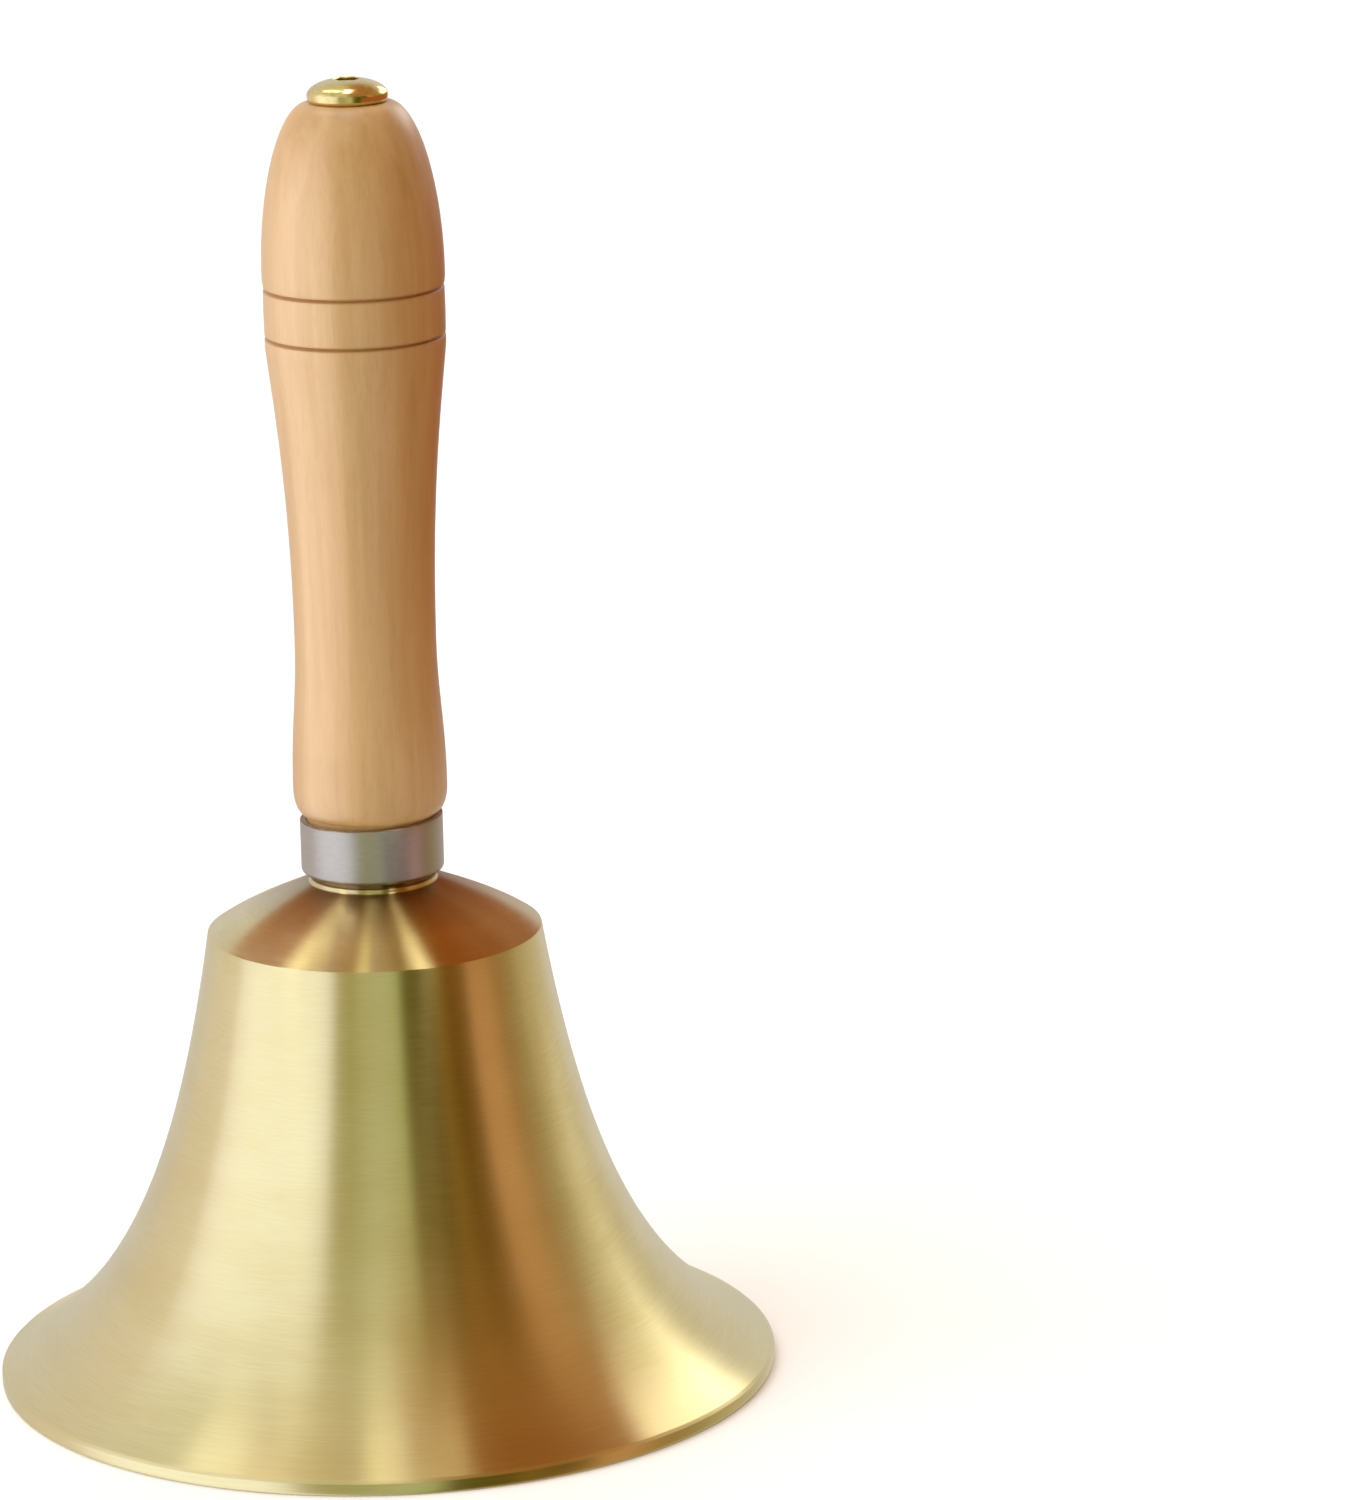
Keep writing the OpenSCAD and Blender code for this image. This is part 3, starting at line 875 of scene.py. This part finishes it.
@dataclass
class Hanger(SubAssembly):
    """The bent stirrup that swivels on the bolt, with its headed pin and clip."""

    strip_t: float = 1.5
    bend_r: float = 2.5
    hole_r: float = 2.58
    pin_r: float = 1.5
    head_r: float = 2.6
    clip_t: float = 0.6
    clip_r: float = 3.0
    groove_r: float = 1.15
    across: int = 8
    bend_steps: int = 8
    leg_steps: int = 3
    hole_rings: tuple[float, ...] = (0.0, 0.12, 0.5, 1.0)
    soft_edge: float = 0.16
    sharp_deg: float = 50.0
    # Angles of the clip's prongs and half its mouth, in degrees
    prongs: tuple[float, ...] = (180.0, 62.0, -62.0)
    mouth_deg: float = 32.0
    clip_steps: int = 60
    prong_gap: float = 0.9

    def place(self, run: float, width: float) -> tuple[float, float, float]:
        """Puts a point of the flat strip's middle surface on the bent strip.

        Args:
            run: Distance along the strip from the middle of its web.
            width: Distance across it.

        Returns:
            The point on the bent strip.
        """
        _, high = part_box("stirrup")
        half, top = high.y / MM, high.z / MM
        flat = half - self.bend_r
        middle = self.bend_r - self.strip_t / 2
        arc_run = middle * math.pi / 2
        side, s = math.copysign(1.0, run), abs(run)
        if s <= flat:
            return width, run, top - self.strip_t / 2
        if s <= flat + arc_run:
            a = (s - flat) / middle
            return width, side * (flat + middle * math.sin(a)), top - self.bend_r + middle * math.cos(a)
        return width, side * (half - self.strip_t / 2), top - self.bend_r - (s - flat - arc_run)

    def patch(self, work: BMesh, centre: float, hole: float, border: list[Point]) -> None:
        """Fills the ring between a round hole and the border round it.

        Args:
            work: The bmesh of the flat strip.
            centre: Run of the hole's centre.
            hole: Its radius.
            border: Points round it, as (run, width), in order.
        """
        rings = []
        for share in self.hole_rings:
            ring = []
            for run, width in border:
                away = Vector((run - centre, width))
                rim = away.normalized() * hole
                spot = rim.lerp(away, share)
                ring.append(work.verts.new(self.place(centre + spot.x, spot.y)))
            rings.append(ring)
        bridge(work, rings, closed=True)

    def stirrup(self) -> Object:
        """Makes the stirrup: a holed strip, bent, thickened and with softened edges."""
        low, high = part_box("stirrup")
        half_w = high.x / MM
        flat = high.y / MM - self.bend_r
        arc_run = (self.bend_r - self.strip_t / 2) * math.pi / 2
        pin_z = low.z / MM + half_w
        pin_run = flat + arc_run + (high.z / MM - self.bend_r - pin_z)
        n = self.across
        steps = [half_w * (2 * i / n - 1) for i in range(n)]
        work = bmesh.new()
        square = (
            [(half_w, w) for w in steps] + [(-w, half_w) for w in steps]
            + [(-half_w, -w) for w in steps] + [(w, -half_w) for w in steps]
        )
        self.patch(work, 0.0, self.hole_r, square)
        for side in (1, -1):
            end = pin_run - half_w
            leg = (end - flat - arc_run) / self.leg_steps
            runs = [flat + arc_run * i / self.bend_steps for i in range(self.bend_steps)]
            runs += [flat + arc_run + leg * i for i in range(self.leg_steps + 1)]
            bridge(work, [[work.verts.new(self.place(side * s, w)) for w in steps + [half_w]] for s in runs])
            turns = [math.pi * i / (2 * n) for i in range(2 * n)]
            near = [(side * end, -w) for w in steps]
            lower = [(side * (end + half_w * i / (n // 2)), -half_w) for i in range(n // 2)]
            tip = [(side * (pin_run + half_w * math.sin(t)), -half_w * math.cos(t)) for t in turns]
            upper = [(side * (pin_run - half_w * i / (n // 2)), half_w) for i in range(n // 2)]
            self.patch(work, side * pin_run, self.pin_r, near + lower + tip + upper)
        bmesh.ops.remove_doubles(work, verts=work.verts, dist=10 * WELD)
        piece = new_object("stirrup_piece", work)
        thick = piece.modifiers.new("thickness", "SOLIDIFY")
        thick.thickness = self.strip_t * MM
        thick.offset = 0.0
        thick.use_even_offset = True
        soft = piece.modifiers.new("soft_edges", "BEVEL")
        soft.width = self.soft_edge * MM
        soft.segments = 2
        soft.limit_method = "ANGLE"
        soft.angle_limit = math.radians(self.sharp_deg)
        apply_modifiers(piece, self.sharp_deg)
        return piece

    def pin_outline(self) -> Outline:
        """The pin's outline along its own axis, from its domed head to its tail."""
        low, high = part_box("hinge_pin")
        start, end = low.y / MM, high.y / MM
        clip_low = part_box("pin_clip")[0].y / MM
        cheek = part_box("stirrup")[0].y / MM
        return (
            [(0.0, start)]
            + arc((self.head_r - 0.5, start + 0.5), 0.5, -90, 0, 5)
            + [(self.head_r, cheek - 0.1), (self.head_r - 0.1, cheek), (self.pin_r, cheek),
               (self.pin_r, clip_low), (self.groove_r, clip_low), (self.groove_r, clip_low + self.clip_t),
               (self.pin_r, clip_low + self.clip_t), (self.pin_r, end - 0.4), (self.pin_r - 0.35, end),
               (0.0, end)]
        )

    def clip(self) -> BMesh:
        """Makes the clip: an open ring with three prongs that grip the pin's groove."""
        low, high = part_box("pin_clip")
        centre_z = high.z / MM - self.clip_r
        work = bmesh.new()
        rows: list[list[BMVert]] = [[], [], [], []]
        opening = math.radians(self.mouth_deg)
        for i in range(self.clip_steps + 1):
            a = opening + (FULL_TURN - 2 * opening) * i / self.clip_steps
            prong = max(math.cos(a - math.radians(turn)) for turn in self.prongs)
            grip = self.groove_r + self.prong_gap * (1 - min(1.0, max(0.0, (prong - 0.9) / 0.06)))
            corners = ((grip, low.y), (self.clip_r, low.y), (self.clip_r, high.y), (grip, high.y))
            for row, (r, y) in zip(rows, corners):
                row.append(work.verts.new((r * math.sin(a), y / MM, centre_z - r * math.cos(a))))
        bridge(work, rows + rows[:1])
        for i in (0, -1):
            work.faces.new([row[i] for row in rows])
        return work

    def build(self) -> None:
        """Makes the stirrup in nickel-plated strip, the pin in ground and the clip in spring steel."""
        self.adopt("stirrup", self.stirrup(), NICKEL_STEEL)
        low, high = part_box("hinge_pin")
        centre = (0, 0, (low.z + high.z) / 2 / MM)
        pin = revolved(self.pin_outline(), segments=64, axis=Axis.ALONG_Y, centre=centre)
        self.stand_for("hinge_pin", pin, GROUND_STEEL, sharp_deg=35.0)
        self.stand_for("pin_clip", self.clip(), SPRING_STEEL, sharp_deg=35.0)


@dataclass
class Clapper(SubAssembly):
    """The clapper: a stem with a cross hub, a turned ball and the nut under it."""

    hub_r: float = 3.2
    hub_bore_r: float = 1.58
    stem_r: float = 1.75
    ball_r: float = 9.0
    ball_z: float = 12.8
    sink: float = 3.2
    sink_r: float = 3.5
    collar_r: float = 3.2
    collar_round: float = 0.3
    hub_round: float = 0.35
    hub_sink: float = 1.9
    tip_taper: float = 0.3
    sharp_deg: float = 35.0
    nut_flats: float = 5.5
    thread_r: float = 1.5
    pitch: float = 0.5

    def hub_outline(self) -> Outline:
        """The cross hub's outline along the pin."""
        half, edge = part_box("clapper_stem")[1].y / MM, self.hub_round
        return (
            [(self.hub_bore_r, -half + 0.15), (self.hub_bore_r + 0.15, -half)]
            + arc((self.hub_r - edge, -half + edge), edge, -90, 0, 4)
            + arc((self.hub_r - edge, half - edge), edge, 0, 90, 4)
            + [(self.hub_bore_r + 0.15, half), (self.hub_bore_r, half - 0.15)]
        )

    def stem_outline(self, angle: float) -> Outline:
        """The rod's outline at an angle: plain above, threaded below the ball's seat."""
        end, top, _ = span("clapper_stem")
        seat = self.ball_z - self.ball_r + self.sink
        hub_z = top - self.hub_r
        count = round((seat - end) / self.pitch * THREAD_STEPS)
        thread = [
            (thread_radius(self.thread_r, self.pitch, z, angle) - max(0.0, self.tip_taper - (z - end)), z)
            for z in (end + (seat - 0.05 - end) * i / count for i in range(count + 1))
        ]
        return (
            [(0.0, end)]
            + thread
            + [(self.stem_r, seat), (self.stem_r, hub_z - 12)]
            + bezier((self.stem_r, hub_z - 6.5), (0, 2.5), (-0.7, -1.4), (2.9, hub_z - 2.2), 10)
            + [(self.hub_sink, hub_z - self.hub_sink), (0.0, hub_z - self.hub_sink)]
        )

    def stem(self) -> Object:
        """Makes the stem and its hub as one brazed solid."""
        _, top, _ = span("clapper_stem")
        centre = (0, 0, top - self.hub_r)
        hub = new_object(
            "hub_work", revolved(self.hub_outline(), segments=80, axis=Axis.ALONG_Y, centre=centre))
        piece = new_object("clapper_stem_piece", revolved(self.stem_outline, segments=64), self.sharp_deg)
        union = piece.modifiers.new("braze", "BOOLEAN")
        union.operation = "UNION"
        union.solver = "EXACT"
        union.object = hub
        apply_modifiers(piece, self.sharp_deg)
        bpy.data.objects.remove(hub)
        return piece

    def ball_outline(self) -> Outline:
        """The ball's outline: collar on top, full round, and the nut's seat sunk below."""
        r, z, soft = self.ball_r, self.ball_z, self.collar_round
        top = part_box("clapper_ball")[1].z / MM
        bottom_angle = -math.degrees(math.acos((self.sink_r + 0.15) / r))
        neck_r = self.collar_r + 0.5
        sink_top = z - r + self.sink
        return (
            [(self.stem_r, sink_top), (self.sink_r, sink_top), (self.sink_r, z - r + 1.0)]
            + arc((0.0, z), r, bottom_angle, math.degrees(math.acos(neck_r / r)), 60)
            + [(self.collar_r + 0.12, z + math.sqrt(r * r - neck_r**2) + 0.14), (self.collar_r, z + r - 0.35)]
            + arc((self.collar_r - soft, top - soft), soft, 0, 90, 4)
            + [(self.stem_r, top)]
        )

    def build(self) -> None:
        """Makes the stem in drawn brass, the ball in turned brass and its nut in plated steel."""
        self.adopt("clapper_stem", self.stem(), DRAWN_BRASS)
        ball = revolved(self.ball_outline(), segments=128)
        self.stand_for("clapper_ball", ball, TURNED_BRASS, self.sharp_deg)
        nut = HexNut(self.nut_flats, self.thread_r, self.pitch)
        nut_work = revolved(nut.outline_for("ball_nut"), segments=96)
        self.stand_for("ball_nut", nut_work, ZINC_STEEL, sharp_deg=25.0)


# Cast brass, turned and brushed round its axis with fine grit: pale, satin, striped by the light.
SATIN_BRASS = BrushedMetal(
    "brushed_cast_brass",
    # Painted shade: the crown is darker near the boss and the neck is darker under the ferrule, and the ring
    # at the boss's foot is left bright
    painted_shade=((61.8, "#000000"), (64.3, "#B0B0B0"), (65.65, "#DCDCDC"), (65.75, "#000000"), (66.28, "#000000"),
             (66.4, "#F0F0F0")),
)
# Brass bolt head, pressed and tumbled: a little brighter and smoother, with no brushing.
POLISHED_BRASS = BrushedMetal(
    "tumbled_brass", "#EDDC9C", "#DCC680", roughness=0.2, line_depth=0.001, brushed=False)
# Drawn brass rod: faint lines, slightly redder.
DRAWN_BRASS = BrushedMetal("drawn_brass", "#E4CC8A", "#D0B26A", roughness=0.3, brushed=False)
# Ball turned on a lathe: faint tool lines round it.
TURNED_BRASS = BrushedMetal(
    "turned_brass", "#ECD898", "#DAC27E", roughness=0.28, anisotropy=0.6, line_pitch=0.35, line_depth=0.001,
    flare=0.0,
)
# Stainless steel, drawn into a cup and brushed: grey and satin, with broad soft bands.
SATIN_STEEL = BrushedMetal(
    "brushed_stainless_steel", "#C0BCB0", "#B7B3A7", roughness=0.42, anisotropy=0.45, line_pitch=0.4,
    line_depth=0.001,
)
# Bright zinc plate on pressed steel: bluish and slightly cloudy.
ZINC_STEEL = PlatedSteel("bright_zinc_plate", "#C9CCCE", "#A8ADB1")
# Nickel plate on bent strip: warmer and smoother.
NICKEL_STEEL = PlatedSteel("nickel_plated_strip", "#CFCAC0", "#B2ADA2", roughness=0.24, mottle=0.5)
# Ground pin steel: even and bright.
GROUND_STEEL = PlatedSteel("ground_steel", "#D6D6D4", "#BDBDBB", roughness=0.2, mottle=0.4)
# Oil-blackened spring steel: dark, with a soft shine.
SPRING_STEEL = PlatedSteel("blackened_spring_steel", "#57585A", "#3B3C3E", roughness=0.38)


# ------------------------------------------------------------------ studio and camera


def hang_lamp(data: Light, place: Vector, aim: Vector) -> Object:
    """Places a lamp and turns it to face a point.

    Args:
        data: The lamp's data.
        place: Where it hangs, in metres.
        aim: The point that it faces, in metres.

    Returns:
        The lamp, which no camera sees.
    """
    lamp = bpy.data.objects.new(data.name, data)
    lamp.location = place
    lamp.rotation_euler = (aim - place).to_track_quat("-Z", "Y").to_euler()
    lamp.visible_camera = False
    bpy.context.scene.collection.objects.link(lamp)
    return lamp


@dataclass(frozen=True)
class Softbox:
    """A rectangular soft light that only shows as a highlight. Sizes are in metres."""

    name: str
    place: tuple[float, float, float]
    width: float
    height: float
    glow: float
    only: str = ""
    tint: str = "#FFFFFF"

    def build(self, aim: Vector) -> None:
        """Hangs the light, turned to face a point.

        Args:
            aim: The point that it faces, in metres.
        """
        data = bpy.data.lights.new(self.name, "AREA")
        data.shape = "RECTANGLE"
        data.size, data.size_y = self.width, self.height
        data.energy = self.glow * math.pi * self.width * self.height
        data.color = linear(self.tint)[:3]
        lamp = hang_lamp(data, Vector(self.place), aim)
        lamp.visible_diffuse = False
        if self.only:
            lit = bpy.data.collections.new(f"{self.name}_lit")
            lit.objects.link(bpy.data.objects[f"{self.only}_piece"])
            lamp.light_linking.receiver_collection = lit


@dataclass(frozen=True)
class SkyPanel:
    """A very large, very soft light from one side, even all over the floor, that shows in no highlight.

    Its azimuth is seen from the bell: 0 is the front, positive to the right.
    """

    name: str
    azimuth: float
    elevation: float
    spread: float
    strength: float

    def build(self, aim: Vector) -> None:
        """Hangs the light, turned to face a point.

        Args:
            aim: The point that it faces, in metres.
        """
        data = bpy.data.lights.new(self.name, "SUN")
        data.angle = math.radians(self.spread)
        data.energy = self.strength
        a, e = math.radians(self.azimuth), math.radians(self.elevation)
        away = Vector((math.sin(a) * math.cos(e), -math.cos(a) * math.cos(e), math.sin(e)))
        hang_lamp(data, aim + away, aim).visible_glossy = False


def one_sided_sheet(name: str, work: BMesh, look: Vector, cover: Callable[[NodeTree], Node]) -> Object:
    """Makes a thin sheet of the studio that shows on one side and is clear from the other.

    Args:
        name: Its name.
        work: Its faces.
        look: The way that its front faces.
        cover: Adds the front's nodes and returns its shader.

    Returns:
        The sheet, which isn't part of the handbell.
    """
    sheet = new_object(name, work)
    if sheet.data.polygons[0].normal.dot(look) < 0:
        sheet.data.flip_normals()
    material = bpy.data.materials.new(name)
    tree = empty_tree(material)
    behind = add_node(tree, "ShaderNodeNewGeometry").outputs["Backfacing"]
    clear = add_node(tree, "ShaderNodeBsdfTransparent")
    either = add_node(tree, "ShaderNodeMixShader", {0: behind, 1: cover(tree), 2: clear})
    add_node(tree, "ShaderNodeOutputMaterial", {"Surface": either})
    sheet.data.materials.append(material)
    return sheet


def glowing_card(name: str, work: BMesh, look: Vector, colour: str, brightness: float) -> Object:
    """Makes a thin card that glows evenly on one side and is clear from the other.

    Args:
        name: Its name.
        work: Its faces.
        look: The way that its glowing side faces.
        colour: Its sRGB colour.
        brightness: How strongly it glows.

    Returns:
        The card, which no camera sees and which casts no shadow.
    """
    inputs = {"Color": linear(colour), "Strength": brightness}
    card = one_sided_sheet(name, work, look, lambda tree: add_node(tree, "ShaderNodeEmission", inputs))
    card.visible_camera = card.visible_shadow = card.visible_transmission = False
    return card


@dataclass(frozen=True)
class CardSector:
    """A sector of the warm card round the handle's foot, seen only as a reflection in the dome.

    Its azimuths are seen from the bell in degrees, its reach and drop are in millimetres.
    """

    start: float
    end: float
    colour: str
    brightness: float = 1.0
    reach: float = 45.0
    drop: float = 0.0
    inner: float = 12.5
    height: float = 84.0
    step_deg: float = 6.0

    def build(self, name: str) -> None:
        """Hangs the sector under the given name."""
        work = bmesh.new()
        steps = max(2, round((self.end - self.start) / self.step_deg))
        rims = []
        for k in range(steps + 1):
            a = math.radians(self.start + (self.end - self.start) * k / steps)
            rims.append([work.verts.new((r * math.sin(a), -r * math.cos(a), z))
                         for r, z in ((self.inner, self.height), (self.reach, self.height - self.drop))])
        bridge(work, rims)
        down = Vector((0, 0, -1))
        glowing_card(name, work, down, self.colour, self.brightness).visible_diffuse = False


@dataclass
class Studio:
    """A pale floor in a room whose walls are hung with soft panels."""

    # Azimuth of each panel's edge, seen from the bell as in SkyPanel, and its colour
    walls: tuple[tuple[float, str], ...] = (
        (-180, "#B4B4BC"), (-150, "#B6B1B5"), (-125, "#C2B9B9"), (-107, "#C9C1C4"), (-97, "#E6E5FA"),
        (-84, "#ECEEFF"), (-42, "#EAEDFF"), (-34, "#DEE0F2"), (-25, "#93906C"), (-19, "#8E8C64"),
        (-8, "#96987A"), (2, "#9FA48E"), (12, "#9FA784"), (18, "#4C4D20"), (34, "#453F10"),
        (41, "#6F5A28"), (49, "#513F10"), (58, "#5E4820"), (66, "#AB8363"), (76, "#A98360"),
        (88, "#8B6E4A"), (100, "#867653"), (112, "#9B8E71"), (134, "#A69D90"), (152, "#B4B0B2"),
        (180, "#B4B4BC"),
    )
    wall_strength: float = 1.5
    ceiling_left: str = "#B5B0A4"
    ceiling_right: str = "#936A42"
    ceiling_from: float = 0.45
    ceiling_full: float = 0.8
    ceiling_seam: tuple[float, float] = (-0.08, 0.1)
    floor_half: float = 3.0
    floor_fibres: float = 900.0  # in a metre
    backdrop: str = "#FFFFFF"
    card: tuple[CardSector, ...] = (
        CardSector(-178, -62, "#AB6834"),
        CardSector(-62, -50, "#FFF4D8", 2.2),
        CardSector(-50, -14, "#9A6232"),
        CardSector(-14, -5, "#F0DCAA"),
        CardSector(-5, 27, "#8C6232"),
        CardSector(27, 36, "#FFF4D8", 2.6),
        CardSector(36, 182, "#95501E", reach=66.0, drop=12.0),
    )
    palm_x: float = 42.0
    palm_y: tuple[float, float] = (-45.0, 70.0)
    palm_z: tuple[float, float] = (78.0, 176.0)
    palm_colour: str = "#A8643A"
    lights: tuple[Softbox | SkyPanel, ...] = (
        SkyPanel("key_panel", -68, 38, 55, 0.85),
        SkyPanel("top_panel", -170, 80, 80, 1.65),
        Softbox("top_strip", (0.005, 0.04, 0.8), 0.09, 0.30, 4.6),
        Softbox("left_top_strip", (-0.232, 0.19, 0.77), 0.10, 0.30, 3.8),
        Softbox("right_window", (0.171, 0.193, 0.225), 0.15, 0.16, 2.4),
        Softbox("handle_sheen", (-0.61, -0.2, -0.1), 1.1, 0.9, 2.5, only="handle"),
        Softbox("ferrule_sheen", (0.45, -0.4, 0.0), 1.0, 0.8, 0.45, only="ferrule", tint="#8E94C8"),
    )

    def paper(self, tree: NodeTree) -> Node:
        """Adds the floor's fine paper tone and returns its shader."""
        place = add_node(tree, "ShaderNodeTexCoord").outputs["Object"]
        fibres = add_node(
            tree, "ShaderNodeTexNoise", {"Vector": place, "Scale": self.floor_fibres, "Detail": 2.0})
        tone = add_node(tree, "ShaderNodeValToRGB", {"Fac": fibres})
        set_ramp(tone, [(0.2, "#FAFAFA"), (0.8, "#FCFCFC")])
        return add_node(tree, "ShaderNodeBsdfPrincipled", {"Base Color": tone, "Roughness": 0.9})

    def floor(self) -> None:
        """Makes the floor: one large pale sheet, clear from underneath."""
        work = bmesh.new()
        bmesh.ops.create_grid(work, x_segments=8, y_segments=8, size=self.floor_half / MM)
        sheet = one_sided_sheet("floor", work, Vector((0, 0, 1)), self.paper)
        sheet.visible_glossy = False
        sheet.data.materials[0].name = "pale_paper_floor"

    def palm(self) -> None:
        """Stands a glowing warm card to the right of the handle, which lights the handle's right side warm
        and keeps part of the room's pale light off it, as the holder's palm would.
        """
        work = bmesh.new()
        (front, back), (low, high) = self.palm_y, self.palm_z
        corners = ((front, low), (front, high), (back, high), (back, low))
        work.faces.new([work.verts.new((self.palm_x, y, z)) for y, z in corners])
        glowing_card("palm_card", work, Vector((-1, 0, 0)), self.palm_colour, 1.0)

    def room(self) -> None:
        """Makes the surroundings: plain white behind the bell, and upright panels that it reflects."""
        world = bpy.data.worlds.new("studio")
        bpy.context.scene.world = world
        tree = empty_tree(world)
        heading = add_node(tree, "ShaderNodeTexCoord").outputs["Generated"]
        parts = add_node(tree, "ShaderNodeSeparateXYZ", {"Vector": heading})
        back = add_node(tree, "ShaderNodeMath", {0: parts.outputs["Y"], 1: -1.0}, operation="MULTIPLY")
        azimuth = add_node(tree, "ShaderNodeMath", {0: parts.outputs["X"], 1: back}, operation="ARCTAN2")
        share = add_node(
            tree, "ShaderNodeMapRange", {"Value": azimuth, "From Min": -math.pi, "From Max": math.pi})
        panels = add_node(tree, "ShaderNodeValToRGB", {"Fac": share})
        set_ramp(panels, [(0.5 + turn / 360, colour) for turn, colour in self.walls], "EASE")
        overhead = add_node(
            tree, "ShaderNodeMapRange",
            {"Value": parts.outputs["Z"], "From Min": self.ceiling_from, "From Max": self.ceiling_full},
            interpolation_type="SMOOTHSTEP")
        seam_from, seam_to = self.ceiling_seam
        side = add_node(
            tree, "ShaderNodeMapRange",
            {"Value": parts.outputs["X"], "From Min": seam_from, "From Max": seam_to},
            interpolation_type="SMOOTHSTEP")
        inputs = {"Factor": side, "A": linear(self.ceiling_left), "B": linear(self.ceiling_right)}
        ceiling = add_node(tree, "ShaderNodeMix", inputs, data_type="RGBA")
        inputs = {"Factor": overhead, "A": panels, "B": ceiling}
        around = add_node(tree, "ShaderNodeMix", inputs, data_type="RGBA")
        seen = add_node(tree, "ShaderNodeLightPath").outputs["Is Camera Ray"]
        walls = add_node(tree, "ShaderNodeBackground", {"Color": around, "Strength": self.wall_strength})
        plain = add_node(
            tree, "ShaderNodeBackground", {"Color": linear(self.backdrop), "Strength": 1.0})
        both = add_node(tree, "ShaderNodeMixShader", {0: seen, 1: walls, 2: plain})
        add_node(tree, "ShaderNodeOutputWorld", {"Surface": both})

    def build(self) -> None:
        """Makes the floor, the cards, the room and the lights."""
        self.floor()
        for i, sector in enumerate(self.card):
            sector.build(f"warm_card_{i}")
        self.palm()
        self.room()
        aim = (Vector(CAD_BOUNDS[0]) + Vector(CAD_BOUNDS[1])) / 2
        for light in self.lights:
            light.build(aim)
        bpy.context.scene.view_settings.view_transform = "Standard"


@dataclass(frozen=True)
class Viewpoint:
    """Where the camera stands, in millimetres and degrees."""

    distance: float = 836.7
    height: float = 293.48
    yaw: float = 2.7814
    pitch: float = -14.2151
    roll: float = -1.219
    lens: float = 161.42
    sensor: float = 36.0
    near: float = 10.0

    def build(self) -> None:
        """Places the camera and makes it the scene's own."""
        yaw, pitch, roll = (math.radians(v) for v in (self.yaw, self.pitch, self.roll))
        ahead = Vector((math.sin(yaw) * math.cos(pitch), math.cos(yaw) * math.cos(pitch), math.sin(pitch)))
        level = Vector((math.cos(yaw), -math.sin(yaw), 0))
        above = level.cross(ahead)
        right = level * math.cos(roll) + above * math.sin(roll)
        up = above * math.cos(roll) - level * math.sin(roll)
        data = bpy.data.cameras.new("camera")
        data.lens = self.lens
        data.sensor_width = self.sensor
        data.clip_start = self.near * MM
        camera = bpy.data.objects.new("camera", data)
        turn = Matrix((right, up, -ahead)).transposed()
        stand = Vector((0, -self.distance, self.height)) * MM
        camera.matrix_world = Matrix.Translation(stand) @ turn.to_4x4()
        bpy.context.scene.collection.objects.link(camera)
        bpy.context.scene.camera = camera


def main() -> None:
    """Builds the camera, the studio and each sub-assembly in order."""
    logging.basicConfig(level=logging.INFO, format="%(name)s: %(message)s")
    Viewpoint().build()
    for assembly in (BellShell(), Grip(), TieRod(), Hanger(), Clapper()):
        assembly.build()
        LOG.info("%s: %s", type(assembly).__name__, ", ".join(assembly.pieces))
    Studio().build()


if __name__ == "__main__":
    main()
